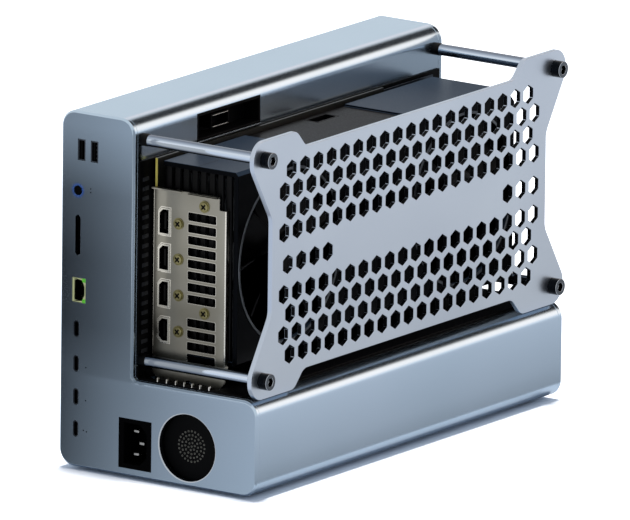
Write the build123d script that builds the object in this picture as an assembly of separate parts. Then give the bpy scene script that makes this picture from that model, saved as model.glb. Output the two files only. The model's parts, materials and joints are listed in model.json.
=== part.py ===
from build123d import *
import os
from math import cos, pi, radians, sin, sqrt

os.makedirs("parts", exist_ok=True)

# External graphics card enclosure. An L-shaped aluminium body holds the dock
# electronics in its tall leg and the power supply in its low foot. A graphics
# card stands in the nook of the L, behind a honeycomb plate on four rods.
# All lengths are millimetres. x runs from the leg's outer side to the foot's
# far side, y from the front face to the back, z up from the body's underside.

# Body
body_width = 142.0
body_height = 215.0
body_depth = 318.0
leg_width = 52.5
foot_height = 58.0
outer_radius = 10.0
nook_cut = 2.0
shell_wall = 3.0
end_plate = 3.6
plate_chamfer = 1.2
pad_height = 2.0
pad_width = 14.0
pad_length = 24.0
pad_inset = 12.0

# Black liner of the nook
liner_sheet = 1.2
liner_floor_width = 76.0
liner_end_gap = 0.4
liner_top_gap = 0.5

# Honeycomb side panel
panel_thickness = 3.0
panel_setback = 2.0
lobe_margin = 11.3
lobe_length = 44.0
lobe_run = 10.0
lobe_rise = 10.8
lobe_blend = 8.0
shoulder_drop = 15.8
waist_inset = 20.0
waist_half = 29.0
waist_blend = 12.0
hex_radius = 5.85
hex_pitch = 13.65
hex_row_pitch = 12.35
hex_first_row = 18.6
hex_rim_y = 7.0
hex_rim_z = 5.0
middle_row_drop = 1.0
middle_left_count = 4
middle_left_shift = 4.0
middle_right_count = 3

# Rods that carry the panel, with a socket cap screw at the far end of each
rod_radius = 3.5
rod_end_inset = 8.2
rod_above_foot = 11.3
rod_below_top = 12.7
cap_head_radius = 5.0
cap_head_height = 6.0
cap_socket_width = 5.0
cap_socket_depth = 3.2

# Front sockets. The lowest stands off the underside, the highest hangs off the
# top, and the steps of the others above the lowest spread with the run between
socket_bottom = 23.0
socket_drop = 23.1
socket_run = 168.9
fit_gap = 0.2
running_gap = 0.3
socket_recess = 0.3
port_sheet = 0.5
tongue_recess = 1.0
flat_port_width = 5.4
flat_port_height = 12.9
flat_port_x = (14.6, 23.8)
flat_port_depth = 14.0
flat_tongue_sheet = 1.8
oval_port_width = 3.9
oval_port_height = 9.9
oval_port_cut = 1.2
oval_port_x = 12.0
oval_port_steps = (60.5, 39.5, 19.4, 0.0)
oval_port_depth = 9.0
oval_tongue_sheet = 0.8
oval_tongue_height = 5.6
reader_x = 12.4
reader_step = 117.2
reader_slot_width = 3.8
reader_slot_height = 24.5
reader_slot_cut = 1.4
reader_depth = 26.0
reader_margin = 2.0
reader_mouth_sheet = 2.6
jack_x = 13.4
jack_step = 84.0
jack_width = 9.8
jack_height = 15.0
jack_depth = 18.0
jack_rim = 1.2
jack_cavity_width = 5.6
jack_cavity_depth = 12.0
jack_notch_height = 5.0
jack_notch_width = 1.8
jack_light_height = 2.2
jack_light_depth = 3.0
button_x = 12.3
button_step = 144.2
button_radius = 2.6
button_proud = 0.3
button_length = 7.4
button_travel = 0.6
switch_depth = 4.0
switch_height = 8.0

# Power supply in the foot, with its mains inlet and small fan
psu_left = 37.5
psu_width = 81.5
psu_height = 40.5
psu_length = 150.0
psu_sheet = 1.0
psu_setback = 2.0
psu_fan_offset = 26.7
psu_fan_size = 38.0
psu_fan_depth = 10.0
psu_fan_duct = 18.2
psu_duct_sides = 16
psu_fan_tip = 16.4
psu_fan_hub = 9.0
psu_fan_bar = 6.0
psu_bar_sheet = 2.0
psu_blade_count = 5
psu_blade_root = 6.0
psu_blade_tip = 8.0
psu_blade_sweep = 2.0
psu_blade_sheet = 0.8
fan_hole_radius = 20.0
guard_hole_radius = 4.9
guard_web = 1.6
guard_first_angle = 30.0
inlet_offset = 17.35
inlet_z = 19.6
inlet_width = 23.7
inlet_height = 30.2
inlet_depth = 20.0
inlet_cavity_width = 16.4
inlet_cavity_height = 24.6
inlet_cavity_depth = 15.5
inlet_cavity_chamfer = 5.0
pin_width = 4.0
pin_sheet = 2.0
pin_spacing = 14.0
pin_stagger = 4.0
pin_recess = 4.2

# Power outlet pocket in the leg's inner wall
pocket_front = 64.0
pocket_length = 65.0
pocket_height = 17.0
pocket_depth = 13.0
pocket_sheet = 1.5
pocket_below_top = 8.0
outlet_length = 18.5
outlet_height = 8.6
outlet_proud = 8.0
outlet_offset = 19.0
outlet_rim = 0.9
outlet_cavity_depth = 6.0

# Boards
board_sheet = 1.6
dock_board_gap = 3.6
dock_board_depth = 190.0
dock_board_margin = 11.5
spacer_width = 5.0
spacer_inset = 8.0
sink_length = 50.0
sink_height = 50.0
sink_base = 3.0
sink_fin = 9.0
sink_fin_count = 4
sink_fin_sheet = 1.5
sink_from_front = 80.0
slot_board_overhang = 16.0
slot_board_width = 60.0
slot_front = 60.0
slot_length = 93.0
slot_width = 5.8
slot_height = 11.3
slot_groove_gap = 0.1
slot_groove_depth = 7.5

# Graphics card
card_front = 16.5
card_from_leg = 3.7
card_bottom = 9.0
card_height = 123.0
card_board_length = 233.0
finger_length = 88.0
finger_inset = 2.5
finger_depth = 7.8
backplate_sheet = 1.0
backplate_margin = 2.0
bracket_sheet = 0.9
bracket_overhang = 0.4
bracket_width = 52.2
bracket_top = 115.0
bracket_step_width = 5.0
bracket_step_height = 8.0
bracket_dip = 2.0
tongue_chamfer = 5.5
tongue_notch_width = 13.0
tongue_notch_height = 3.8
bracket_flange = 3.2
flange_notch_width = 5.0
flange_notch_depth = 1.6
bracket_return = 2.2
bracket_slot_gap = 7.0
vent_width = 20.2
vent_height = 5.2
vent_pitch = 7.1
vent_left = 24.8
vent_upper_first = 50.8
vent_upper_count = 8
vent_lower_first = 15.2
vent_lower_count = 4
video_port_width = 8.6
video_port_height = 16.6
video_port_left = 3.5
video_port_z = (95.1, 73.2, 51.6)
tapered_port_z = 29.8
tapered_port_height = 15.4
video_port_depth = 13.0
video_port_proud = 0.5
video_port_rim = 0.9
video_port_corner = 2.4
video_tongue_sheet = 1.4

# Card cooler
shroud_from_board = 2.4
shroud_thickness = 53.6
shroud_front_gap = 2.6
card_tail_gap = 0.7
shroud_bottom = 13.0
shroud_height = 117.5
shroud_wall = 2.4
shroud_edge_chamfer = 2.0
shroud_tail_chamfer = 9.0
shroud_deck_drop = 1.2
shroud_deck_front = 83.0
shroud_deck_length = 103.0
shroud_window_margin = 3.0
fan_rim = 7.75
fan_opening_sides = 45
fan_end_gap = 2.5
fan_tip_gap = 2.4
fan_hub = 17.0
fan_hub_depth = 12.0
fan_face_gap = 1.5
fan_blade_count = 9
fan_blade_root = 12.0
fan_blade_tip = 20.0
fan_blade_sweep = 5.0
fan_blade_sheet = 1.2
blade_angle = 30.0
motor_radius = 15.0
motor_sides = 8
motor_sheet = 2.0
cooler_base = 4.0
cooler_fin_sheet = 1.2
cooler_fin_pitch = 20.0
cooler_front_gap = 20.0
cooler_tail_gap = 12.0
chip_size = 40.0
chip_from_front = 90.0
card_socket_length = 22.0
card_socket_width = 10.0
card_socket_front = 143.0
card_socket_height = 9.0

# Places worked out from the sizes above
panel_outer_x = body_width - panel_setback
panel_inner_x = panel_outer_x - panel_thickness
total_width = panel_outer_x + cap_head_height
rod_ys = (rod_end_inset, body_depth - rod_end_inset)
rod_zs = (foot_height + rod_above_foot, body_height - rod_below_top)
rod_places = [(y, z) for y in rod_ys for z in rod_zs]
panel_y = (rod_ys[0] + rod_ys[1]) / 2
panel_z = (rod_zs[0] + rod_zs[1]) / 2
panel_end = rod_ys[1] - panel_y + lobe_margin
lobe_top = rod_zs[1] - panel_z + lobe_margin
panel_half = lobe_top - lobe_rise
shell_end = body_depth - end_plate
flat_port_z = body_height - socket_drop
socket_spread = (flat_port_z - socket_bottom) / socket_run
button_z = socket_bottom + button_step * socket_spread
reader_z = socket_bottom + reader_step * socket_spread
jack_z = socket_bottom + jack_step * socket_spread
oval_port_z = [socket_bottom + step * socket_spread for step in oval_port_steps]
board_x = leg_width + card_from_leg
board_front_x = board_x + board_sheet
card_z = foot_height + card_bottom
card_tail_y = rod_ys[1] - rod_radius - card_tail_gap
dock_board_x = shell_wall + dock_board_gap
dock_face_x = dock_board_x + board_sheet
psu_front = end_plate + psu_setback
fan_x = psu_left + psu_width - psu_fan_offset
fan_z = shell_wall + psu_height / 2
inlet_x = psu_left + inlet_offset


def block(x, y, z):
    """A box between two values along each axis."""
    size = [high - low for low, high in (x, y, z)]
    centre = [(low + high) / 2 for low, high in (x, y, z)]
    return Pos(*centre) * Box(*size)


def along_x(sketch, start, end):
    """A (y, z) sketch made solid between two x values."""
    return extrude(Plane.YZ.offset(start) * sketch, end - start, dir=(1, 0, 0))


def along_y(sketch, start, end):
    """An (x, z) sketch made solid between two y values."""
    return extrude(Plane.XZ.offset(-start) * sketch, end - start, dir=(0, 1, 0))


def centred(middle, length):
    """The low and high ends of a length about its middle."""
    return (middle - length / 2, middle + length / 2)


def inset(span, gap):
    """A span with a gap taken off both its ends."""
    return (span[0] + gap, span[1] - gap)


def group(solids):
    """Several separate solids as one piece of the list."""
    return Compound(children=list(solids))


def write(node, shape):
    """Write one node, with the origin under the middle of the whole assembly."""
    place = Pos(-total_width / 2, -body_depth / 2, pad_height)
    export_step(place * shape, f"parts/{node}.step")


def l_corners(gap):
    """Corners of the body's L in (x, z), a given distance inside its surface."""
    far = body_width - gap
    step = foot_height - gap
    inner = leg_width - gap
    top = body_height - gap
    return [(inner, step), (inner, top), (gap, top), (gap, gap), (far, gap), (far, step)]


def l_section():
    """The body's outer L in (x, z), with rounded corners and a small bevel in the nook."""
    corners = l_corners(0)
    face = make_face(Polyline(*corners, close=True))
    face = fillet(face.vertices().sort_by_distance(corners[0])[1:], outer_radius)
    return chamfer(face.vertices().sort_by_distance(corners[0])[0], nook_cut)


def l_hollow():
    """The space inside the body in (x, z), its corners cut so that the wall keeps its thickness."""
    corners = l_corners(shell_wall)
    face = make_face(Polyline(*corners, close=True))
    outer = face.vertices().sort_by_distance(corners[0])[1:]
    return chamfer(outer, (2 - sqrt(2)) * (outer_radius - shell_wall))


# Openings cut in the body's shell
pocket_high = body_height - pocket_below_top
pocket_z = (pocket_high - pocket_height, pocket_high)
pocket_y = (pocket_front, pocket_front + pocket_length)
slot_y = (slot_front, slot_front + slot_length)
slot_x = centred(board_x + board_sheet / 2, slot_width)
bracket_y = (card_front - bracket_sheet, card_front)
bracket_x = (board_x - bracket_overhang, board_x - bracket_overhang + bracket_width)
liner_top_z = foot_height + liner_sheet
tongue_opening = block(
    inset(bracket_x, -fit_gap),
    (bracket_y[0] - bracket_slot_gap, bracket_y[1] + running_gap),
    (foot_height - shell_wall, liner_top_z),
)
slot_opening = block(
    inset(slot_x, -fit_gap),
    inset(slot_y, -fit_gap),
    (foot_height - shell_wall, liner_top_z),
)


def body_shell():
    """L-section extrusion, open at both ends, with the pocket, slot and bracket openings."""
    shell = along_y(l_section() - l_hollow(), end_plate, shell_end)
    shell -= block((leg_width - shell_wall, leg_width), pocket_y, pocket_z)
    return shell - slot_opening - tongue_opening


def cut_rectangle(width, height, cut, gap):
    """An upright rectangle with cut corners, drawn a given distance inside its outline."""
    face = Rectangle(width - 2 * gap, height - 2 * gap)
    return chamfer(face.vertices(), cut - (2 - sqrt(2)) * gap)


def oval_outline(gap):
    """Outline of an oval data socket, a given distance inside its opening."""
    return cut_rectangle(oval_port_width, oval_port_height, oval_port_cut, gap)


def front_sockets():
    """Outlines of the front plate's openings, in (x, z)."""
    cuts = Pos(button_x, button_z) * Circle(button_radius + running_gap)
    for x in flat_port_x:
        cuts += Pos(x, flat_port_z) * Rectangle(flat_port_width, flat_port_height)
    for z in oval_port_z:
        cuts += Pos(oval_port_x, z) * oval_outline(0)
    reader = cut_rectangle(reader_slot_width, reader_slot_height, reader_slot_cut, 0)
    cuts += Pos(reader_x, reader_z) * reader
    cuts += Pos(jack_x, jack_z) * Rectangle(jack_width, jack_height)
    cuts += Pos(inlet_x, inlet_z) * Rectangle(inlet_width, inlet_height)
    return cuts + Pos(fan_x, fan_z) * Circle(fan_hole_radius)


def front_plate():
    """End plate with a bright bevel round its front edge and the socket openings."""
    plate = along_y(l_section(), 0, end_plate)
    plate = chamfer(plate.faces().sort_by(Axis.Y)[0].edges(), plate_chamfer)
    return plate - along_y(front_sockets(), 0, end_plate)


def rear_plate():
    """Plain end plate that closes the body's back."""
    return along_y(l_section(), shell_end, body_depth)


def rubber_feet():
    """Four pads under the body's corners."""
    low = pad_inset
    far = body_width - pad_inset
    back = body_depth - pad_inset
    xs = [(low, low + pad_width), (far - pad_width, far)]
    ys = [(low, low + pad_length), (back - pad_length, back)]
    return group([block(x, y, (-pad_height, 0)) for x in xs for y in ys])


def nook_liner():
    """Folded black sheet on the leg's inner wall and the foot's top."""
    inside = leg_width + liner_sheet
    wall_top = pocket_z[0] - liner_top_gap
    far = leg_width + liner_floor_width
    profile = make_face(
        Polyline(
            (leg_width, foot_height + nook_cut),
            (leg_width, wall_top),
            (inside, wall_top),
            (inside, liner_top_z),
            (far, liner_top_z),
            (far, foot_height),
            (leg_width + nook_cut, foot_height),
            close=True,
        )
    )
    sheet = along_y(profile, *inset((end_plate, shell_end), liner_end_gap))
    notch = rod_end_inset + rod_radius + running_gap
    for span in ((0, notch), (body_depth - notch, body_depth)):
        sheet -= block((leg_width, inside), span, centred(rod_zs[0], 2 * (rod_radius + running_gap)))
    return sheet - slot_opening - tongue_opening


def panel_outline():
    """Waisted plate with a lobe at each corner, in (y, z) about its middle."""
    inner = panel_end - lobe_length
    quarter = [(inner - lobe_run, panel_half), (inner, lobe_top), (panel_end, lobe_top)]
    quarter += [(panel_end, lobe_top - shoulder_drop), (panel_end - waist_inset, waist_half)]
    radii = [lobe_blend, lobe_blend, lobe_margin, lobe_margin, waist_blend]
    corners = quarter + [(y, -z) for y, z in reversed(quarter)]
    corners += [(-y, z) for y, z in reversed(corners)]
    face = make_face(Polyline(*corners, close=True))
    for (y, z), radius in zip(quarter, radii):
        places = [(y, z), (y, -z), (-y, z), (-y, -z)]
        face = fillet([face.vertices().sort_by_distance(place)[0] for place in places], radius)
    return face


def hex_places():
    """Centres of the honeycomb holes, in (y, z) about the panel's middle."""
    usable = panel_end - waist_inset - hex_rim_y
    columns = int((2 * usable - hex_radius * sqrt(3)) / hex_pitch) + 1
    rows = int((panel_half - hex_rim_z - hex_radius - hex_first_row) / hex_row_pitch) + 1
    start = -(columns - 1) / 2 * hex_pitch
    places = []
    for row in range(rows):
        z = hex_first_row + row * hex_row_pitch
        short = row % 2
        for column in range(columns - short):
            y = start + (column + short / 2) * hex_pitch
            places += [(y, z), (y, -z)]
    for column in range(middle_left_count):
        places.append((start + middle_left_shift + column * hex_pitch, -middle_row_drop))
    for column in range(middle_right_count):
        places.append((-start - column * hex_pitch, -middle_row_drop))
    return places


def side_panel():
    """Honeycomb plate on the ends of the rods."""
    hexagon = Rot(0, 0, 90) * RegularPolygon(hex_radius, 6)
    sketch = panel_outline() - [Pos(y, z) * hexagon for y, z in hex_places()]
    return along_x(Pos(panel_y, panel_z) * sketch, panel_inner_x, panel_outer_x)


def panel_rod(y, z):
    """One polished rod from the leg's wall to the panel."""
    return along_x(Pos(y, z) * Circle(rod_radius), leg_width, panel_inner_x)


def panel_screws():
    """Socket cap screw heads on the panel's lobes."""
    end = panel_outer_x + cap_head_height
    heads = []
    for y, z in rod_places:
        head = along_x(Pos(y, z) * Circle(cap_head_radius), panel_outer_x, end)
        key = Pos(y, z) * RegularPolygon(cap_socket_width / 2, 6, major_radius=False)
        heads.append(head - along_x(key, end - cap_socket_depth, end))
    return group(heads)


button_end = button_length - button_proud


def power_button():
    """Round push button through the front plate."""
    return along_y(Pos(button_x, button_z) * Circle(button_radius), -button_proud, button_end)


def button_switch():
    """Push switch on the dock board, just behind the button."""
    front = button_end + button_travel + running_gap
    across = (dock_face_x, button_x + button_radius)
    return block(across, (front, front + switch_depth), centred(button_z, switch_height))


def flat_port_shells():
    """Folded steel sleeves of the two flat data sockets."""
    across = (flat_port_width - 2 * fit_gap, flat_port_height - 2 * fit_gap)
    outer = Rectangle(*across)
    inner = Rectangle(*[length - 2 * port_sheet for length in across])
    shells = []
    for x in flat_port_x:
        sleeve = along_y(Pos(x, flat_port_z) * outer, socket_recess, flat_port_depth)
        hollow = Pos(x, flat_port_z) * inner
        shells.append(sleeve - along_y(hollow, socket_recess, flat_port_depth - port_sheet))
    return group(shells)


def flat_port_tongues():
    """Contact tongues inside the flat data sockets."""
    margin = fit_gap + port_sheet
    height = centred(flat_port_z, flat_port_height - 2 * margin)
    depth = (socket_recess + tongue_recess, flat_port_depth - port_sheet)
    lefts = [x - flat_port_width / 2 + margin for x in flat_port_x]
    return group([block((left, left + flat_tongue_sheet), depth, height) for left in lefts])


def oval_port_shells():
    """Steel sleeves of the oval data sockets."""
    shells = []
    for z in oval_port_z:
        place = Pos(oval_port_x, z)
        sleeve = along_y(place * oval_outline(fit_gap), socket_recess, oval_port_depth)
        hollow = place * oval_outline(fit_gap + port_sheet)
        shells.append(sleeve - along_y(hollow, socket_recess, oval_port_depth - port_sheet))
    return group(shells)


def oval_port_tongues():
    """Contact tongues inside the oval data sockets."""
    across = centred(oval_port_x, oval_tongue_sheet)
    depth = (socket_recess + tongue_recess, oval_port_depth - port_sheet)
    return group([block(across, depth, centred(z, oval_tongue_height)) for z in oval_port_z])


def memory_card_reader():
    """Card reader on the dock board, behind its slot in the front plate."""
    far = reader_x + reader_slot_width / 2 + reader_margin
    height = centred(reader_z, reader_slot_height + 2 * reader_margin)
    cage = block((dock_face_x, far), (end_plate, reader_depth), height)
    depth = (end_plate, reader_depth - reader_margin)
    mouth_height = reader_slot_height - 2 * reader_slot_cut
    mouth = block(centred(reader_x, reader_mouth_sheet), depth, centred(reader_z, mouth_height))
    return cage - mouth


# The network jack's sides, its mouth and the corners that hold its lights
jack_sides = inset(centred(jack_x, jack_width), fit_gap)
jack_ends = inset(centred(jack_z, jack_height), fit_gap)
jack_mouth_x = (jack_sides[0] + jack_rim, jack_sides[0] + jack_rim + jack_cavity_width)
jack_light_x = (jack_mouth_x[1] + fit_gap, jack_sides[1])


def jack_lights():
    """The two corner lights of the network jack."""
    depth = (socket_recess, socket_recess + jack_light_depth)
    low = (jack_ends[0], jack_ends[0] + jack_light_height)
    high = (jack_ends[1] - jack_light_height, jack_ends[1])
    return [block(jack_light_x, depth, low), block(jack_light_x, depth, high)]


def network_jack():
    """Network socket with a stepped mouth for the plug's catch."""
    inside = (socket_recess, jack_cavity_depth)
    body = block(jack_sides, (socket_recess, jack_depth), jack_ends)
    body -= block(jack_mouth_x, inside, inset(jack_ends, jack_rim))
    notch_x = (jack_mouth_x[1], jack_mouth_x[1] + jack_notch_width)
    body -= block(notch_x, inside, centred(jack_z, jack_notch_height))
    for light in jack_lights():
        body -= light
    return body


def power_inlet():
    """Mains inlet turned on its side, with two cut corners in its mouth."""
    place = Pos(inlet_x, inlet_z)
    face = Rectangle(inlet_width - 2 * fit_gap, inlet_height - 2 * fit_gap)
    body = along_y(place * face, socket_recess, inlet_depth)
    mouth = Rectangle(inlet_cavity_width, inlet_cavity_height)
    mouth = chamfer(mouth.vertices().group_by(Axis.X)[-1], inlet_cavity_chamfer)
    return body - along_y(place * mouth, socket_recess, inlet_cavity_depth)


def inlet_pins():
    """Two live pins and an earth pin standing in the inlet."""
    live_x = inlet_x - pin_stagger / 2
    earth_x = inlet_x + pin_stagger / 2
    high, low = centred(inlet_z, pin_spacing)
    places = [(live_x, high), (live_x, low), (earth_x, inlet_z)]
    depth = (pin_recess, inlet_cavity_depth)
    return group([block(centred(x, pin_width), depth, centred(z, pin_sheet)) for x, z in places])


def psu_case():
    """Sheet-metal box of the power supply, open for its inlet and pierced before its fan."""
    across = (psu_left, psu_left + psu_width)
    depth = (psu_front, psu_front + psu_length)
    height = (shell_wall, shell_wall + psu_height)
    spans = [across, depth, height]
    case = block(*spans) - block(*[inset(span, psu_sheet) for span in spans])
    hexagon = RegularPolygon(guard_hole_radius, 6)
    ring = PolarLocations(guard_hole_radius * sqrt(3) + guard_web, 6, guard_first_angle, rotate=False)
    holes = hexagon + [place * hexagon for place in ring]
    openings = Pos(fan_x, fan_z) * holes
    openings += Pos(inlet_x, inlet_z) * Rectangle(inlet_width, inlet_height)
    return case - along_y(openings, psu_front, psu_front + psu_sheet)


def fan_wheel(hub, depth, tip, count, root_chord, tip_chord, sweep, sheet):
    """Fan wheel about +z: a faceted hub with flat pitched blades that end on the tip radius."""
    inside = hub * cos(pi / count) - 2 * sheet
    lead = sweep - tip_chord / 2
    trail = sweep + tip_chord / 2
    outline = make_face(
        Polyline(
            (inside, -root_chord / 2),
            (sqrt(tip**2 - lead**2), lead),
            (sqrt(tip**2 - trail**2), trail),
            (inside, root_chord / 2),
            close=True,
        )
    )
    lift = max(root_chord / 2, -lead) * sin(radians(blade_angle)) + sheet
    blade = Pos(0, 0, lift) * Rot(blade_angle, 0, 0) * extrude(outline, sheet / 2, both=True)
    wheel = extrude(RegularPolygon(hub, 2 * count), depth)
    return wheel + [Rot(0, 0, 360 * number / count) * blade for number in range(count)]


# The power supply's fan stands behind the pierced sheet, on a bar across its frame
psu_fan_front = psu_front + psu_sheet
psu_fan_back = psu_fan_front + psu_fan_depth
psu_bar_front = psu_fan_back - psu_bar_sheet
psu_wheel_back = psu_bar_front - running_gap
psu_wheel_depth = psu_wheel_back - psu_fan_front - running_gap


def psu_fan_frame():
    """Square fan frame with a faceted duct and a bar that carries the wheel."""
    place = Pos(fan_x, fan_z)
    face = Rectangle(psu_fan_size, psu_fan_size) - RegularPolygon(psu_fan_duct, psu_duct_sides)
    frame = along_y(place * face, psu_fan_front, psu_fan_back)
    bar = place * Rectangle(psu_fan_size, psu_fan_bar)
    return frame + along_y(bar, psu_bar_front, psu_fan_back)


def psu_fan_rotor():
    """Small fan wheel of the power supply."""
    blades = (psu_blade_count, psu_blade_root, psu_blade_tip, psu_blade_sweep, psu_blade_sheet)
    wheel = fan_wheel(psu_fan_hub, psu_wheel_depth, psu_fan_tip, *blades)
    return Pos(fan_x, psu_wheel_back, fan_z) * Rot(90, 0, 0) * wheel


# The pocket's back wall, on which the power outlet stands
pocket_back = leg_width - pocket_depth
outlet_back = pocket_back + pocket_sheet


def power_pocket():
    """Black tray sunk in the leg's inner wall."""
    sides = [inset(span, fit_gap) for span in (pocket_y, pocket_z)]
    inner = [inset(span, pocket_sheet) for span in sides]
    return block((pocket_back, leg_width), *sides) - block((outlet_back, leg_width), *inner)


def power_socket():
    """Power outlet for the card's lead, standing in the pocket."""
    start = pocket_front + outlet_offset
    sides = [(start, start + outlet_length), centred((pocket_z[0] + pocket_z[1]) / 2, outlet_height)]
    face = outlet_back + outlet_proud
    mouth = [inset(span, outlet_rim) for span in sides]
    return block((outlet_back, face), *sides) - block((face - outlet_cavity_depth, face), *mouth)


def dock_board():
    """Circuit board along the leg's outer wall, behind the front sockets."""
    depth = (end_plate + fit_gap, end_plate + dock_board_depth)
    return block((dock_board_x, dock_face_x), depth, inset((0, body_height), dock_board_margin))


def board_spacers():
    """Square spacers between the leg's wall and the dock board."""
    ys = inset((end_plate, end_plate + dock_board_depth), spacer_inset)
    zs = inset((0, body_height), dock_board_margin + spacer_inset)
    across = (shell_wall, dock_board_x)
    places = [(centred(y, spacer_width), centred(z, spacer_width)) for y in ys for z in zs]
    return group([block(across, *place) for place in places])


def board_heatsink():
    """Finned block on the dock board's controller."""
    depth = (sink_from_front, sink_from_front + sink_length)
    height = centred(body_height / 2, sink_height)
    base_end = dock_face_x + sink_base
    sink = block((dock_face_x, base_end), depth, height)
    pitch = (sink_height - sink_fin_sheet) / (sink_fin_count - 1)
    for number in range(sink_fin_count):
        low = height[0] + number * pitch
        sink += block((base_end, base_end + sink_fin), depth, (low, low + sink_fin_sheet))
    return sink


slot_board_top = foot_height - shell_wall


def slot_board():
    """Circuit board under the foot's top that carries the card slot."""
    across = (slot_x[0] - fit_gap, slot_x[0] + slot_board_width)
    depth = inset(slot_y, -slot_board_overhang)
    return block(across, depth, (slot_board_top - board_sheet, slot_board_top))


# The card's edge contacts and the slot's groove share one length
finger_y = (slot_y[0] + finger_inset, slot_y[0] + finger_inset + finger_length)


def card_slot():
    """Edge connector that stands through the foot's top."""
    top = slot_board_top + slot_height
    sides = [inset(span, -slot_groove_gap) for span in ((board_x, board_front_x), finger_y)]
    groove = block(*sides, (top - slot_groove_depth, top))
    return block(slot_x, slot_y, (slot_board_top, top)) - groove


def card_board():
    """The card's circuit board with its edge contacts in the slot."""
    across = (board_x, board_front_x)
    depth = (card_front, card_front + card_board_length)
    board = block(across, depth, (card_z, card_z + card_height))
    return board + block(across, finger_y, (card_z - finger_depth, card_z))


def card_backplate():
    """Stiff sheet on the back of the card's board."""
    depth = inset((card_front, card_tail_y), backplate_margin)
    height = inset((card_z, card_z + card_height), backplate_margin)
    return block((board_x - backplate_sheet, board_x), depth, height)


def bracket_outline():
    """The bracket's face in (x, z): stepped top corner, two tongues with a notch between them."""
    left, right = bracket_x
    top = foot_height + bracket_top
    bottom = foot_height - bracket_dip
    middle = (left + right) / 2
    return make_face(
        Polyline(
            (left, top),
            (right - bracket_step_width, top),
            (right - bracket_step_width, top - bracket_step_height),
            (right, top - bracket_step_height),
            (right, bottom + tongue_chamfer),
            (right - tongue_chamfer, bottom),
            (middle + tongue_notch_width / 2, bottom),
            (middle, bottom + tongue_notch_height),
            (middle - tongue_notch_width / 2, bottom),
            (left + tongue_chamfer, bottom),
            (left, bottom + tongue_chamfer),
            close=True,
        )
    )


def vent_rows():
    """Middle heights of the bracket's vent slots."""
    upper = [vent_upper_first + number * vent_pitch for number in range(vent_upper_count)]
    lower = [vent_lower_first + number * vent_pitch for number in range(vent_lower_count)]
    return [foot_height + height for height in upper + lower]


def video_outline(height, cut_low, gap):
    """A video socket's outline about its middle, with one or two corners cut on the board side."""
    face = Rectangle(video_port_width - 2 * gap, height - 2 * gap)
    left = face.vertices().group_by(Axis.X)[0].sort_by(Axis.Y)
    return chamfer(left if cut_low else left[-1:], video_port_corner)


# Middle height, length and cut corners of each video socket
video_x = bracket_x[0] + video_port_left + video_port_width / 2
video_sockets = [(foot_height + z, video_port_height, False) for z in video_port_z]
video_sockets.append((foot_height + tapered_port_z, tapered_port_height, True))
video_front = bracket_y[0] - video_port_proud
video_back = card_front + video_port_depth


def card_bracket():
    """Steel bracket with vent slots, socket openings and a folded top flange."""
    left, right = bracket_x
    vent = Rectangle(vent_width, vent_height)
    face = bracket_outline() - [Pos(left + vent_left + vent_width / 2, z) * vent for z in vent_rows()]
    for z, height, cut_low in video_sockets:
        face -= Pos(video_x, z) * video_outline(height, cut_low, 0)
    bracket = along_y(face, *bracket_y)
    top = foot_height + bracket_top
    flange_x = (left, right - bracket_step_width)
    flange_y = (bracket_y[1] - bracket_flange, bracket_y[1])
    lip = block(flange_x, flange_y, (top - bracket_sheet, top))
    notch_x = centred((flange_x[0] + flange_x[1]) / 2, flange_notch_width)
    notch_y = (flange_y[0], flange_y[0] + flange_notch_depth)
    lip -= block(notch_x, notch_y, (top - bracket_sheet, top))
    edge_z = (liner_top_z + tongue_chamfer, top - bracket_step_height)
    edge_y = (bracket_y[0], bracket_y[1] + bracket_return)
    return bracket + lip + block((right - bracket_sheet, right), edge_y, edge_z)


def video_ports():
    """Video sockets that stand on the card's board and show through the bracket."""
    ports = []
    for z, height, cut_low in video_sockets:
        place = Pos(video_x, z)
        port = along_y(place * video_outline(height, cut_low, fit_gap), video_front, video_back)
        port += block((board_front_x, video_x), (card_front, video_back), centred(z, height))
        mouth = place * video_outline(height, cut_low, fit_gap + video_port_rim)
        ports.append(port - along_y(mouth, video_front, video_back - video_port_rim))
    return group(ports)


def video_port_tongues():
    """Contact tongues inside the video sockets."""
    across = centred(video_x, video_tongue_sheet)
    depth = (bracket_y[0] + tongue_recess, video_back - video_port_rim)
    margin = 2 * (video_port_corner + video_port_rim)
    return group([block(across, depth, centred(z, tall - margin)) for z, tall, cut in video_sockets])


# The cooler's shroud, the fans in its face and the fins behind them
shroud_x = (board_front_x + shroud_from_board, board_front_x + shroud_from_board + shroud_thickness)
shroud_y = (card_front + shroud_front_gap, card_tail_y)
shroud_z = (foot_height + shroud_bottom, foot_height + shroud_bottom + shroud_height)
deck_y = (shroud_y[0] + shroud_deck_front, shroud_y[0] + shroud_deck_front + shroud_deck_length)
deck_z = shroud_z[1] - shroud_deck_drop
fan_opening = shroud_height / 2 - fan_rim
fan_ys = inset(shroud_y, fan_end_gap + fan_opening)
fan_axis_z = (shroud_z[0] + shroud_z[1]) / 2
wheel_back = shroud_x[1] - fan_face_gap - fan_hub_depth
motor_face = wheel_back - running_gap
fin_end = motor_face - motor_sheet
socket_x = (shroud_x[0] + shroud_wall, shroud_x[0] + shroud_wall + card_socket_width)
socket_y = (card_front + card_socket_front, card_front + card_socket_front + card_socket_length)


def tail_cut(cover):
    """A block with the upper corner of its rear end cut off."""
    tail = cover.edges().filter_by(Axis.X).group_by(Axis.Y)[-1].sort_by(Axis.Z)[-1]
    return chamfer(tail, shroud_tail_chamfer)


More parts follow.
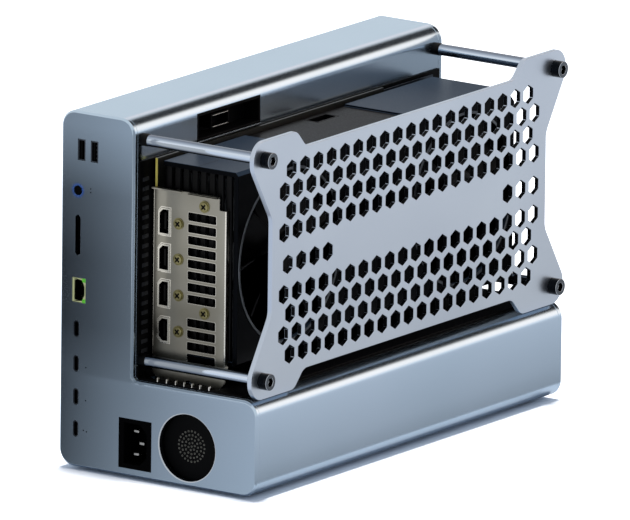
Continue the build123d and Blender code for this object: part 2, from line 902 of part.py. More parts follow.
def card_shroud():
    """Cooler cover: two fan openings, an open front end, a lower middle of its top, a sloped tail."""
    cover = tail_cut(block(shroud_x, shroud_y, shroud_z))
    face_edges = cover.edges().filter_by(Axis.Y).group_by(Axis.X)[-1]
    cover = chamfer(face_edges, shroud_edge_chamfer)
    sides = [inset(span, shroud_wall) for span in (shroud_y, shroud_z)]
    cover -= tail_cut(block((shroud_x[0], shroud_x[1] - shroud_wall), *sides))
    cover -= block(shroud_x, deck_y, (deck_z, shroud_z[1]))
    opening = RegularPolygon(fan_opening, fan_opening_sides)
    for y in fan_ys:
        cover -= along_x(Pos(y, fan_axis_z) * opening, shroud_x[1] - shroud_wall, shroud_x[1])
    window_x = (shroud_x[0], shroud_x[1] - shroud_window_margin)
    window_y = (shroud_y[0], shroud_y[0] + shroud_wall)
    cover -= block(window_x, window_y, inset(shroud_z, shroud_window_margin))
    return cover - block(socket_x, socket_y, (shroud_z[1] - shroud_wall, shroud_z[1]))


def card_heatsink():
    """Cooler block: a base on the graphics chip and fins across the card."""
    depth = (shroud_y[0] + cooler_front_gap, shroud_y[1] - cooler_tail_gap)
    low = shroud_z[0] + shroud_wall + running_gap
    height = (low, deck_z - card_socket_height - running_gap)
    base_end = shroud_x[0] + cooler_base
    sink = block((shroud_x[0], base_end), depth, height)
    chip_y = (card_front + chip_from_front, card_front + chip_from_front + chip_size)
    sink += block((board_front_x, shroud_x[0]), chip_y, centred(fan_axis_z, chip_size))
    count = int((depth[1] - depth[0] - cooler_fin_sheet) / cooler_fin_pitch) + 1
    starts = [depth[0] + number * cooler_fin_pitch for number in range(count)]
    return sink + [block((base_end, fin_end), (y, y + cooler_fin_sheet), height) for y in starts]


def card_fan_motors():
    """Fan motors on the tips of the cooler's fins."""
    motor = RegularPolygon(motor_radius, motor_sides)
    return group([along_x(Pos(y, fan_axis_z) * motor, fin_end, motor_face) for y in fan_ys])


def card_fan(y):
    """One fan wheel of the card, facing the honeycomb panel."""
    blades = (fan_blade_count, fan_blade_root, fan_blade_tip, fan_blade_sweep, fan_blade_sheet)
    wheel = fan_wheel(fan_hub, fan_hub_depth, fan_opening - fan_tip_gap, *blades)
    return Pos(wheel_back, y, fan_axis_z) * Rot(0, 90, 0) * wheel


def card_power_socket():
    """Power socket in the card's top edge."""
    sides = [inset(span, fit_gap) for span in (socket_x, socket_y)]
    mouth = [inset(span, outlet_rim) for span in sides]
    body = block(*sides, (deck_z - card_socket_height, deck_z))
    return body - block(*mouth, (deck_z - outlet_cavity_depth, deck_z))


write("body_shell", body_shell())
write("front_plate", front_plate())
write("rear_plate", rear_plate())
write("rubber_feet", rubber_feet())
write("nook_liner", nook_liner())
write("side_panel", side_panel())
rod_names = ("front_low", "front_high", "rear_low", "rear_high")
for name, (y, z) in zip(rod_names, rod_places):
    write(f"panel_rod_{name}", panel_rod(y, z))
write("panel_screws", panel_screws())
write("power_button", power_button())
write("button_switch", button_switch())
write("flat_port_shells", flat_port_shells())
write("flat_port_tongues", flat_port_tongues())
write("oval_port_shells", oval_port_shells())
write("oval_port_tongues", oval_port_tongues())
write("memory_card_reader", memory_card_reader())
write("network_jack", network_jack())
write("network_jack_lights", group(jack_lights()))
write("power_inlet", power_inlet())
write("inlet_pins", inlet_pins())
write("psu_case", psu_case())
write("psu_fan_frame", psu_fan_frame())
write("psu_fan_rotor", psu_fan_rotor())
write("power_pocket", power_pocket())
write("power_socket", power_socket())
write("dock_board", dock_board())
write("board_spacers", board_spacers())
write("board_heatsink", board_heatsink())
write("slot_board", slot_board())
write("card_slot", card_slot())
write("card_board", card_board())
write("card_backplate", card_backplate())
write("card_bracket", card_bracket())
write("video_ports", video_ports())
write("video_port_tongues", video_port_tongues())
write("card_shroud", card_shroud())
write("card_heatsink", card_heatsink())
write("card_fan_motors", card_fan_motors())
for name, y in zip(("front", "rear"), fan_ys):
    write(f"card_fan_{name}", card_fan(y))
write("card_power_socket", card_power_socket())
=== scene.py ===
# %% [markdown]
# External graphics card enclosure, dressed for its photograph.
# The solids come in as a fixed frame in metres: an L-shaped aluminium body,
# a card in its nook and a honeycomb plate on four rods. This lesson lights
# them, gives every surface its finish and adds the small pieces that make
# the real thing look made rather than drawn.

# %% Load the frame
import json
import math
import bmesh
import bpy
from mathutils import Matrix, Vector

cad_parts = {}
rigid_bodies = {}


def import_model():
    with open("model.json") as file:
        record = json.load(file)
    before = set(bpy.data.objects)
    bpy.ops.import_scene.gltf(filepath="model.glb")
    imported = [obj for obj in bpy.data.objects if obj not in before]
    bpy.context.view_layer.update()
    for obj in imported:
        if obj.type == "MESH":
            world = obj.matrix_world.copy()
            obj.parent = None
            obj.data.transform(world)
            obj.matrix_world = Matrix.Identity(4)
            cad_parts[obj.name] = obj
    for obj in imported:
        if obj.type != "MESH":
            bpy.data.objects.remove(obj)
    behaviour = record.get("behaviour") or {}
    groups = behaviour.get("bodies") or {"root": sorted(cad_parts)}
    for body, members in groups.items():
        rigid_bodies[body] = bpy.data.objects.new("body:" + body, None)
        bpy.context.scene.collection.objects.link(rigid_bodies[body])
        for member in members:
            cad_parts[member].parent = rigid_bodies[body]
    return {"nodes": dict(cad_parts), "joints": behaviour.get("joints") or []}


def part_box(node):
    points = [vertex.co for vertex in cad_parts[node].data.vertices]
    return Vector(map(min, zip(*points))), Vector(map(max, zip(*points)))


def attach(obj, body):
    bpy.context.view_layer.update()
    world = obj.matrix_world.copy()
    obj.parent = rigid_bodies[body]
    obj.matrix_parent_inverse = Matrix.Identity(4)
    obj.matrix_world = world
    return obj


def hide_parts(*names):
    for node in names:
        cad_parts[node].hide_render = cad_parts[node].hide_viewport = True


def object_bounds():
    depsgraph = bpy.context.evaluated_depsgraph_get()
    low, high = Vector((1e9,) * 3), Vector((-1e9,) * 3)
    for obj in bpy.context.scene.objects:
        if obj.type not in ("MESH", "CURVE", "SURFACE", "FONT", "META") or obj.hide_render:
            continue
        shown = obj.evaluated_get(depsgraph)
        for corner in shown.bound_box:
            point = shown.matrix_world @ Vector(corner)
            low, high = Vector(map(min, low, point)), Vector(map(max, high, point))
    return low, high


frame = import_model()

solid_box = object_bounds()
nodes = frame["nodes"]
mm = 0.001
print("solids", len(nodes), "box", [round(v / mm, 1) for v in solid_box[1] - solid_box[0]])

# %% [markdown]
# Places on the enclosure are easiest to read from one corner of it: how far
# from the leg's outer side, how far behind the front face, how far above the
# body's underside. That corner could be typed in as three numbers. It is found
# on the solids instead, so that it follows them.

# %% The body's own corner
corner = Vector((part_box("body_shell")[0].x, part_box("front_plate")[0].y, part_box("body_shell")[0].z))


def spot(across, behind, above):
    """A point in the frame from three distances in millimetres off the body's corner."""
    return corner + Vector((across, behind, above)) * mm


def span(node):
    """A solid's lowest and highest corner, in millimetres off the body's corner."""
    return [(point - corner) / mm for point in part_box(node)]


print("corner at", [round(v / mm, 1) for v in corner])

# %% [markdown]
# The photograph was taken from far away with a long lens, so parallel edges
# hardly close up. A camera without perspective would come close, but would
# draw the far edges a little too long. A camera thirteen metres off, with a
# lens to match, gives the same flat perspective. The picture leans a little,
# so the camera is rolled by the same part of a degree.

# %% Camera
camera_turn = math.radians(34.6992)
camera_rise = math.radians(13.4277)
camera_roll = math.radians(0.6818)
camera_target = Vector((5.348, -9.0, 108.353)) * mm
camera_distance = 13.0

back = Vector((math.sin(camera_turn) * math.cos(camera_rise),
               -math.cos(camera_turn) * math.cos(camera_rise),
               math.sin(camera_rise)))
level = Vector((math.cos(camera_turn), math.sin(camera_turn), 0.0))
upright = back.cross(level)
right = level * math.cos(camera_roll) + upright * math.sin(camera_roll)
up = upright * math.cos(camera_roll) - level * math.sin(camera_roll)

lens = bpy.data.cameras.new("long_lens")
lens.sensor_width = 36.0
lens.lens = 1255.119
lens.clip_end = 40.0
camera = bpy.data.objects.new("camera", lens)
bpy.context.scene.collection.objects.link(camera)
camera.matrix_world = Matrix.Translation(camera_target + back * camera_distance) @ Matrix(
    (right, up, back)).transposed().to_4x4()
bpy.context.scene.camera = camera
bpy.context.scene.view_settings.view_transform = "Standard"
print("camera at", [round(v, 3) for v in camera.matrix_world.translation])

# %% [markdown]
# Colours are written as they look on a screen, as hex values. A shader wants
# linear light, so one function turns the one into the other. Nodes could be
# set up a line at a time, but the plan of a material then gets lost. So a
# second small function adds any node with its settings and its links, and a
# third starts a material.

# %% Colour and node helpers
def linear(code):
    """The linear colour of a screen colour such as '8a97a8'."""
    parts = [int(code[i:i + 2], 16) / 255 for i in (0, 2, 4)]
    light = [p / 12.92 if p <= 0.04045 else ((p + 0.055) / 1.055) ** 2.4 for p in parts]
    return (*light, 1.0)


def add(tree, kind, links=None, stops=(), **settings):
    """Adds a node; settings are its fields or inputs, links are {input: output socket}.

    A node with a colour ramp also takes its stops, as (place, linear colour)."""
    node = tree.nodes.new("ShaderNode" + kind)
    for name, value in settings.items():
        if name in node.bl_rna.properties:
            setattr(node, name, value)
        else:
            node.inputs[name.replace("_", " ")].default_value = value
    for name, source in (links or {}).items():
        tree.links.new(source, node.inputs[name])
    if stops:
        steps = node.color_ramp.elements
        while len(steps) < len(stops):
            steps.new(1.0)
        for step, (place, colour) in zip(steps, stops):
            step.position = place
            step.color = colour
    return node


def blank(name):
    """A new material and its node tree, with nothing in the tree."""
    material = bpy.data.materials.new(name)
    material.use_nodes = True
    material.node_tree.nodes.clear()
    return material, material.node_tree


print("mid grey is", round(linear("808080")[0], 3), "in linear light")

# %% [markdown]
# The studio is a white room. Matt surfaces get a soft, slightly cool light
# from it. The camera sees plain white. A mirror-like surface also sees what
# hangs round the set: a dark flag high at the back with a bright strip below
# it, which is what draws a dark and a bright line along the rounded edges.
# Real flags could be modelled, but bands in the room's own shader reach every
# rounded edge alike. Both lie along an arc about the body's length, so the
# angle round that axis places them.

# %% White room
world = bpy.data.worlds.new("white_room")
bpy.context.scene.world = world
world.use_nodes = True
world.cycles.sampling_method = "NONE"
room = world.node_tree
room.nodes.clear()
ray = add(room, "LightPath")
toward = add(room, "SeparateXYZ", {0: add(room, "TexCoord").outputs["Generated"]})
turn = add(room, "Math", {0: toward.outputs["Z"], 1: toward.outputs["X"]}, operation="ARCTAN2")
arc = add(room, "MapRange", {"Value": turn.outputs[0]}, From_Min=0.0, From_Max=math.pi)
flags = [(0, "b4b9c1"), (9, "cccdd0"), (20, "ffeddf"), (41, "ffeddf"), (54, "060607"), (94, "060607"),
         (112, "c8c4c2"), (128, "dfd0cb"), (146, "adb3b6")]
bands = add(room, "ValToRGB", {"Fac": arc.outputs[0]}, [(angle / 180, linear(code)) for angle, code in flags])
at_back = add(room, "MapRange", {"Value": toward.outputs["Y"]}, From_Min=0.45, From_Max=0.6)
hung = add(room, "Math", {0: ray.outputs["Is Glossy Ray"], 1: at_back.outputs[0]}, operation="MULTIPLY")
seen = add(room, "Math", {0: ray.outputs["Is Camera Ray"], 1: ray.outputs["Is Glossy Ray"]},
           operation="MAXIMUM")
seen = add(room, "Math", {0: seen.outputs[0], 1: ray.outputs["Is Transmission Ray"]},
           operation="MAXIMUM")
soft_light = add(room, "Background", Color=linear("dde9ff"), Strength=0.31)
white_wall = add(room, "Background", Color=linear("ffffff"), Strength=1.0)
flag_wall = add(room, "Background", {"Color": bands.outputs["Color"]}, Strength=2.0)
walls = add(room, "MixShader", {0: seen.outputs[0], 1: soft_light.outputs[0], 2: white_wall.outputs[0]})
walls = add(room, "MixShader", {0: hung.outputs[0], 1: walls.outputs[0], 2: flag_wall.outputs[0]})
add(room, "OutputWorld", {"Surface": walls.outputs[0]})
print("room nodes", len(room.nodes))

# %% [markdown]
# The floor is a wide sheet of white paper. A shadow-catching plane could stand
# in for it, but paper keeps floor and shadow in one plain material. Mirror-
# like surfaces see it as it is. To the camera it is exposed up a little, so
# open floor is white to the edge of the picture and only the dark root of the
# shadow stays, which sets the body down on it.

# %% Floor
bpy.ops.object.select_all(action="DESELECT")
bpy.ops.mesh.primitive_plane_add(size=60.0, location=(0, 0, solid_box[0].z))
floor = bpy.context.object
floor.name = "floor"
paper, tree = blank("white_paper")
ray = add(tree, "LightPath")
seen = add(tree, "Math", {0: ray.outputs["Is Camera Ray"], 1: ray.outputs["Is Transmission Ray"]},
           operation="MAXIMUM")
exposed_up = (1.75, 1.75, 1.75, 1.0)
shade = add(tree, "ValToRGB", {"Fac": seen.outputs[0]}, [(0.0, linear("f4f6f9")), (1.0, exposed_up)])
lit = add(tree, "BsdfDiffuse", {"Color": shade.outputs["Color"]})
add(tree, "OutputMaterial", {"Surface": lit.outputs[0]})
floor.data.materials.append(paper)
print("floor at", round(floor.location.z / mm, 2))

# %% [markdown]
# One soft lamp hangs high, a touch behind the object, so its shadow keeps
# close to its front edge. An area lamp would fade towards the ends of the
# floor. A sun with a large disc gives the same light all over it, and it is
# kept out of mirror-like surfaces.

# %% Soft lamp
lamp_data = bpy.data.lights.new("soft_lamp", "SUN")
lamp_data.energy = 2.5
lamp_data.angle = math.radians(9)
soft_lamp = bpy.data.objects.new("soft_lamp", lamp_data)
bpy.context.scene.collection.objects.link(soft_lamp)
soft_lamp.rotation_mode = "QUATERNION"
soft_lamp.rotation_quaternion = Vector((0.0, 0.05, 1.0)).to_track_quat("Z", "Y")
soft_lamp.visible_glossy = False
print("lamp disc", round(math.degrees(lamp_data.angle)), "degrees")

# %% [markdown]
# Bare metal shows what stands close to it, so a photographer shapes it with
# cards as much as with lamps. A picture of a studio could do that work, but
# each card can be set for the one face that sees it. Two graduated cards in
# front draw the dark slope across the front plate. Four small ones shade the
# bracket and the edges of the nook, two low ones on the right calm the long
# side, and a dark one behind the nook keeps its far end deep. Only mirror-like
# surfaces meet these cards; the camera and the matt surfaces don't.

# %% Reflection cards
def card(name, low, high, shades, tint=(1.0, 1.0, 1.0), lit_side=None):
    """A flat card between two points; shades are {axis: [(place in mm, light level), ...]}, added up.

    With a lit_side of X, Y or Z only the face towards that axis gives light."""
    low, high = spot(*low), spot(*high)
    bpy.ops.object.select_all(action="DESELECT")
    bpy.ops.mesh.primitive_cube_add(size=1.0, location=(low + high) / 2, scale=high - low)
    piece = bpy.context.object
    piece.name = name
    bpy.ops.object.transform_apply(location=True, rotation=True, scale=True)
    material, tree = blank(name + "_paint")
    place = add(tree, "TexCoord")
    parts = add(tree, "SeparateXYZ", {0: place.outputs["Object"]})
    paint = add(tree, "Emission", Strength=0.0)
    for axis, steps in shades.items():
        zero = corner["XYZ".index(axis)]
        first, last = steps[0][0], steps[-1][0]
        along = add(tree, "MapRange", {"Value": parts.outputs[axis]},
                    From_Min=zero + first * mm, From_Max=zero + last * mm)
        greys = add(tree, "ValToRGB", {"Fac": along.outputs[0]}, [
            ((where - first) / (last - first), (*(level * t for t in tint), 1.0)) for where, level in steps])
        glow = add(tree, "Emission", {"Color": greys.outputs["Color"]}, Strength=1.0)
        if lit_side:
            facing = add(tree, "SeparateXYZ", {0: place.outputs["Normal"]})
            lit = add(tree, "Math", {0: facing.outputs[lit_side]}, operation="GREATER_THAN")
            tree.links.new(lit.outputs[0], glow.inputs["Strength"])
        paint = add(tree, "AddShader", {0: paint.outputs[0], 1: glow.outputs[0]})
    add(tree, "OutputMaterial", {"Surface": paint.outputs[0]})
    material.cycles.emission_sampling = "NONE"
    piece.data.materials.append(material)
    piece.visible_camera = False
    piece.visible_diffuse = False
    piece.visible_shadow = False
    piece.visible_transmission = False
    return piece


leg_slope = [(-30, 0.03), (-3, 0.045), (18, 0.105), (50, 0.22)]
leg_rise = [(55, 0.06), (85, 0.0), (125, 0.0), (165, 0.06), (205, 0.34)]
foot_slope = [(-30, 0.05), (-3, 0.09), (18, 0.20), (36, 0.29), (85, 0.48), (136, 0.64)]
bracket_rise = [(57, 0.50), (91, 0.44), (113, 0.66), (137, 0.88), (160, 0.74), (205, 0.60)]
margin_rise = [(84, 0.0), (98, 0.40), (112, 0.62), (130, 0.92), (160, 0.86), (200, 0.55)]
side_rise = [(0, 0.43), (14, 0.61), (51, 0.81)]
nook_rise = [(58, 0.05), (90, 0.10), (140, 0.25), (200, 0.46)]
cool = (0.95, 1.0, 1.08)
cards = [
    card("leg_card", (-10, -7, 55), (50, -6, 217), {"X": leg_slope, "Z": leg_rise}, cool),
    card("foot_card", (-10, -7, -1.8), (142, -6, 55), {"X": foot_slope, "Z": [(0, 0.03), (45, 0.0)]}, cool),
    card("bracket_card", (50, -7, 57), (92, -6, 205), {"Z": bracket_rise}),
    card("margin_card", (54.2, 9.9, 84), (60.5, 10, 200), {"Z": margin_rise}, lit_side="Y"),
    card("leg_edge_card", (57, -5, 56), (58, -0.5, 212), {"Z": [(56, 0.30), (212, 0.42)]}, cool),
    card("foot_edge_card", (50, -5, 62), (140, -0.5, 63), {"X": [(50, 0.30), (140, 0.55)]}, cool),
    card("side_card", (156, -60, -1.8), (158, 640, 51), {"Z": side_rise}, (0.97, 1.0, 1.06)),
    card("nook_card", (56, 322, 58), (138, 324, 214), {"Z": nook_rise}, cool),
    card("right_card", (170, -100, -1.9), (900, 1600, -1.8), {"X": [(170, 0.66), (420, 0.90), (640, 1.05)]}),
]
print("cards", [piece.name for piece in cards])

# %% [markdown]
# Body, end plates: aluminium, blasted with fine beads and anodised a pale blue
# grey. The beads leave a satin skin that blurs what it mirrors, and the dye
# takes a little unevenly over a hand's width. Modelled dents would be far too
# many. A metal shader with a fine grain in its roughness and relief gives
# both, and with other tints and grains it also gives the steel and brass
# parts.

# %% Metal finish
def metal(name, dark, light, rough, grain, patch, stretch=(1, 1, 1), relief=0.006):
    """A metal between two tints; grain and patch are sizes in mm, rough its two roughness ends."""
    material, tree = blank(name)
    place = add(tree, "TexCoord").outputs["Object"]
    drawn = add(tree, "Mapping", {"Vector": place}, Scale=stretch)
    grit = add(tree, "TexNoise", {"Vector": drawn.outputs[0]}, Scale=1 / (grain * mm), Detail=3.0)
    cloud = add(tree, "TexNoise", {"Vector": place}, Scale=1 / (patch * mm), Detail=1.0)
    tint = add(tree, "ValToRGB", {"Fac": cloud.outputs["Fac"]}, [(0.35, linear(dark)), (0.65, linear(light))])
    polish = add(tree, "MapRange", {"Value": grit.outputs["Fac"]}, From_Min=0.3, From_Max=0.7,
                 To_Min=rough[0], To_Max=rough[1])
    bumps = add(tree, "Bump", {"Height": grit.outputs["Fac"]}, Strength=relief, Distance=0.02 * mm)
    skin = add(tree, "BsdfPrincipled", {"Base Color": tint.outputs["Color"],
                                        "Roughness": polish.outputs[0],
                                        "Normal": bumps.outputs[0]}, Metallic=1.0)
    add(tree, "OutputMaterial", {"Surface": skin.outputs[0]})
    return material


# Bead marks are really about 0.1 mm; 1.2 mm is as fine as still shows. The grain of the
# other metals is finer than drawn here too, for the same reason.
blasted_aluminium = metal("blasted_anodised_aluminium", "b1c3d3", "b6c7d7", (0.235, 0.25), 1.2, 90)
# The plate is anodised in the same bath but a touch more matt and bluer.
plate_aluminium = metal("satin_anodised_aluminium", "b0bac8", "b6c0cd", (0.29, 0.31), 1.2, 80)
# The bracket is cold-rolled sheet, warm grey, with a faint rolling grain upright.
rolled_steel = metal("cold_rolled_steel", "959389", "a09e95", (0.30, 0.34), 0.8, 25, (1, 1, 0.12))
# Sheared edges of the sheet and cut edges of the aluminium are partly bare metal and partly painted
# highlight, with the light they catch set in their tint. The aluminium's is brighter still.
sheared_edge_painted_highlight = metal("bare_shear_painted_highlight", "d2d0c7", "dedcd3", (0.25, 0.30), 0.8, 10)
cut_lip_painted_highlight = metal("bare_cut_painted_highlight", "eef3f8", "f6fafd", (0.20, 0.26), 0.8, 10)
# The flats round the video sockets and the bracket's long edges get a painted
# highlight, nearly white and a little warm, for the light they catch.
warm_white_painted_highlight = metal("warm_white_painted_highlight_metal", "e9e6dc", "f1eee4", (0.25, 0.30), 0.8, 10)
# The backplate is sheet with a dark conversion coat that only shines at its edges.
dark_sheet = metal("dark_coated_sheet", "3c4249", "464c54", (0.34, 0.44), 0.7, 30)
# Fins are thin bare aluminium that has dulled in the air stream.
dull_fins = metal("dulled_fin_aluminium", "5a5e63", "6c7075", (0.35, 0.45), 0.6, 20)
# Spacers are plain turned brass.
turned_brass = metal("turned_brass", "b99a58", "c4a663", (0.25, 0.33), 0.4, 8)
# Inlet pins are tinned brass, nearly white.
tinned_brass = metal("tinned_brass", "dcdad4", "e6e4de", (0.16, 0.24), 0.4, 5)
# Screws in the bracket are zinc with a yellow passivate, an olive brass to the eye.
yellow_zinc = metal("yellow_passivated_zinc", "858059", "98926b", (0.28, 0.36), 0.8, 3)
print("metals", len([m for m in bpy.data.materials if m.node_tree and m.node_tree.nodes.get("Mapping")]))

# %% [markdown]
# Two metals have light painted into their colour. A rod is buffed along its
# length. The light above it and the black of the nook below are painted into
# its tint as a painted reflection: bright bands and a dark underside. A cap
# screw is blackened steel. A painted highlight makes its chamfer bright, and
# painted shade darkens its sides. More cards could draw these lines, but such
# pieces are too thin to aim them at, so one function chooses the painted tint
# by one part of the surface's own normal.

# %% Metals with painted reflections
def metal_with_painted_reflection(name, axis, tints, rough, grain, stretch=(1, 1, 1)):
    """A metal with a reflection painted into its tint along one part of its normal: tints are (normal part,
    hex colour).
    """
    material, tree = blank(name)
    place = add(tree, "TexCoord")
    facing = add(tree, "SeparateXYZ", {0: place.outputs["Normal"]})
    swing = add(tree, "MapRange", {"Value": facing.outputs[axis]}, From_Min=-1.0, From_Max=1.0)
    tint = add(tree, "ValToRGB", {"Fac": swing.outputs[0]},
               [((part + 1) / 2, linear(code)) for part, code in tints])
    drawn = add(tree, "Mapping", {"Vector": place.outputs["Object"]}, Scale=stretch)
    lines = add(tree, "TexNoise", {"Vector": drawn.outputs[0]}, Scale=1 / (grain * mm), Detail=2.0)
    polish = add(tree, "MapRange", {"Value": lines.outputs["Fac"]}, From_Min=0.3, From_Max=0.7,
                 To_Min=rough[0], To_Max=rough[1])
    skin = add(tree, "BsdfPrincipled", {"Base Color": tint.outputs["Color"], "Roughness": polish.outputs[0]},
               Metallic=1.0)
    add(tree, "OutputMaterial", {"Surface": skin.outputs[0]})
    return material


# Painted reflection: bright bands over the rod and a dark underside, set by how far the normal points up.
rod_steel_painted_reflection = metal_with_painted_reflection("buffed_steel_painted_reflection", "Z", [(-0.85, "2a2d33"), (-0.5, "727b8a"), (-0.2, "bcc8d6"),
                                                       (0.38, "ccd7e4"), (0.55, "aab6c6"), (0.75, "8b96a6"),
                                                       (0.9, "6c7684")], (0.13, 0.18), 1.0, (0.05, 1, 1))
# Painted highlight on the screw's chamfer and painted shade on its sides, set by the normal along X.
screw_steel_painted_highlight = metal_with_painted_reflection("black_oxide_steel_painted_highlight", "X", [(0.25, "15171a"), (0.45, "c3c9d1"), (0.85, "b4bac2"),
                                                    (0.97, "4d535b")], (0.16, 0.22), 1.0)
print("turned metals", rod_steel_painted_reflection.name, screw_steel_painted_highlight.name)

# %% [markdown]
# The dark parts are moulded or painted: ABS with a fine spark texture, powder-
# coated sheet with its orange peel, and soft rubber. All are near black; what
# tells them apart is how they scatter the light. Each could be built by hand,
# but they differ only in a few sizes, so one function makes them.

# %% Moulded and painted finish
def moulded(name, dark, light, rough, grain, relief, shine=0.2):
    """A plastic, paint or rubber between two tints; grain is the texture's size in mm."""
    material, tree = blank(name)
    place = add(tree, "TexCoord").outputs["Object"]
    spark = add(tree, "TexNoise", {"Vector": place}, Scale=1 / (grain * mm), Detail=2.0)
    tint = add(tree, "ValToRGB", {"Fac": spark.outputs["Fac"]}, [(0.35, linear(dark)), (0.65, linear(light))])
    gloss = add(tree, "MapRange", {"Value": spark.outputs["Fac"]}, From_Min=0.3, From_Max=0.7,
                To_Min=rough[0], To_Max=rough[1])
    bumps = add(tree, "Bump", {"Height": spark.outputs["Fac"]}, Strength=relief, Distance=0.05 * mm)
    skin = add(tree, "BsdfPrincipled", {"Base Color": tint.outputs["Color"],
                                        "Roughness": gloss.outputs[0],
                                        "Normal": bumps.outputs[0]}, Specular_IOR_Level=shine)
    add(tree, "OutputMaterial", {"Surface": skin.outputs[0]})
    return material


# Spark texture and moulding grain are really 0.05 to 0.2 mm; about 0.7 mm is as fine as still shows.
# Powder coat: soft orange peel a millimetre or so across.
powder_coat = moulded("black_powder_coat", "020203", "040405", (0.50, 0.62), 1.2, 0.10, 0.08)
# Moulded ABS: fine spark texture, a little satin.
black_abs = moulded("spark_textured_abs", "030304", "060607", (0.40, 0.50), 0.7, 0.08, 0.11)
# Nylon of sockets and slots: smooth and nearly dead black.
black_nylon = moulded("black_nylon", "020203", "040405", (0.35, 0.42), 0.9, 0.05, 0.10)
# Phenolic of the mains inlet: a dead black that swallows the light.
black_phenolic = moulded("black_phenolic", "020203", "030304", (0.55, 0.65), 0.9, 0.05, 0.03)
# Rubber pads: matt and dusty.
pad_rubber = moulded("black_rubber", "101012", "18181a", (0.78, 0.90), 1.0, 0.25)
# Fan wheels: glossier filled plastic whose edges catch the light.
fan_pbt = moulded("glass_filled_pbt", "030304", "060608", (0.28, 0.36), 0.8, 0.05, 0.12)
# Walls of the honeycomb get painted shade. They are near black and dull, so they mirror nothing.
hole_wall_painted_shade = moulded("hole_wall_dark_painted_shade", "07080a", "0c0d10", (0.55, 0.70), 0.8, 0.05, 0.1)
# Ribs on the liner's wall get painted shade: the dark grey of the aluminium wall in shade.
rib_grey_painted_shade = moulded("liner_rib_painted_shade", "1f2022", "2a2b2d", (0.45, 0.55), 0.6, 0.08)
# Solder mask over a dock board: deep green with a wet gloss.
green_mask = moulded("green_solder_mask", "0c2417", "123020", (0.28, 0.36), 1.5, 0.05)
print("finishes so far", len(bpy.data.materials))

# %% [markdown]
# The cooler's cover is black, but the top of its front and rear ends is a
# satin slate paint. Painted plates could be laid on it, but the cover is one
# moulding. The paint follows the shape: it is on faces that look up, in front
# of and behind the lower middle, so the object's own normal and its place
# along the card choose between the two.

# %% Cooler cover paint
cover_paint, tree = blank("satin_painted_abs")
place = add(tree, "TexCoord")
parts = add(tree, "SeparateXYZ", {0: place.outputs["Object"]})
facing = add(tree, "SeparateXYZ", {0: place.outputs["Normal"]})
upward = add(tree, "Math", {0: facing.outputs["Z"]}, operation="GREATER_THAN")
upward.inputs[1].default_value = 0.3
front_end, lower_middle = 83, 103
middle = span("card_shroud")[0].y + front_end + lower_middle / 2
from_middle = add(tree, "Math", {0: parts.outputs["Y"]}, operation="SUBTRACT")
from_middle.inputs[1].default_value = spot(0, middle, 0).y
apart = add(tree, "Math", {0: from_middle.outputs[0]}, operation="ABSOLUTE")
ends = add(tree, "Math", {0: apart.outputs[0]}, operation="GREATER_THAN")
ends.inputs[1].default_value = (lower_middle / 2 - 0.6) * mm
painted = add(tree, "Math", {0: upward.outputs[0], 1: ends.outputs[0]}, operation="MULTIPLY")
speck = add(tree, "TexNoise", {"Vector": place.outputs["Object"]}, Scale=1 / (0.8 * mm), Detail=2.0)
tint = add(tree, "ValToRGB", {"Fac": painted.outputs[0]},
           [(0.45, linear("030304")), (0.55, linear("2d3743"))])
gloss = add(tree, "MapRange", {"Value": speck.outputs["Fac"]}, From_Min=0.3, From_Max=0.7,
            To_Min=0.30, To_Max=0.38)
bumps = add(tree, "Bump", {"Height": speck.outputs["Fac"]}, Strength=0.06, Distance=0.05 * mm)
skin = add(tree, "BsdfPrincipled", {"Base Color": tint.outputs["Color"], "Roughness": gloss.outputs[0],
                                    "Normal": bumps.outputs[0]}, Specular_IOR_Level=0.05,
           Specular_Tint=linear("d3e4ff"))
add(tree, "OutputMaterial", {"Surface": skin.outputs[0]})
print("cover paint nodes", len(tree.nodes))

# %% [markdown]
# The card's board is black on both faces, but the raw cut at its front edge
# shows the yellow glass and resin inside. A thin strip could be laid along
# that edge. Here only faces that look forward get the yellow, so it can't come
# away from the board and reads as the thin bright line beside the bracket.

# %% Board with a raw edge
raw_board, tree = blank("black_masked_glass_epoxy")
place = add(tree, "TexCoord")
facing = add(tree, "SeparateXYZ", {0: place.outputs["Normal"]})
forward = add(tree, "Math", {0: facing.outputs["Y"]}, operation="MULTIPLY")
forward.inputs[1].default_value = -1.0
weave = add(tree, "TexNoise", {"Vector": place.outputs["Object"]}, Scale=1 / (0.6 * mm), Detail=2.0)
resin = add(tree, "ValToRGB", {"Fac": weave.outputs["Fac"]},
            [(0.3, linear("e2cf5e")), (0.7, linear("efe07a"))])
edge = add(tree, "ValToRGB", {"Fac": forward.outputs[0]},
           [(0.55, linear("08090a")), (0.60, linear("ffffff"))])
shown = add(tree, "MixRGB", {1: edge.outputs["Color"], 2: resin.outputs["Color"]}, blend_type="MULTIPLY")
shown.inputs[0].default_value = 1.0
skin = add(tree, "BsdfPrincipled", {"Base Color": shown.outputs[0]}, Roughness=0.42)
add(tree, "OutputMaterial", {"Surface": skin.outputs[0]})
print("board nodes", len(tree.nodes))
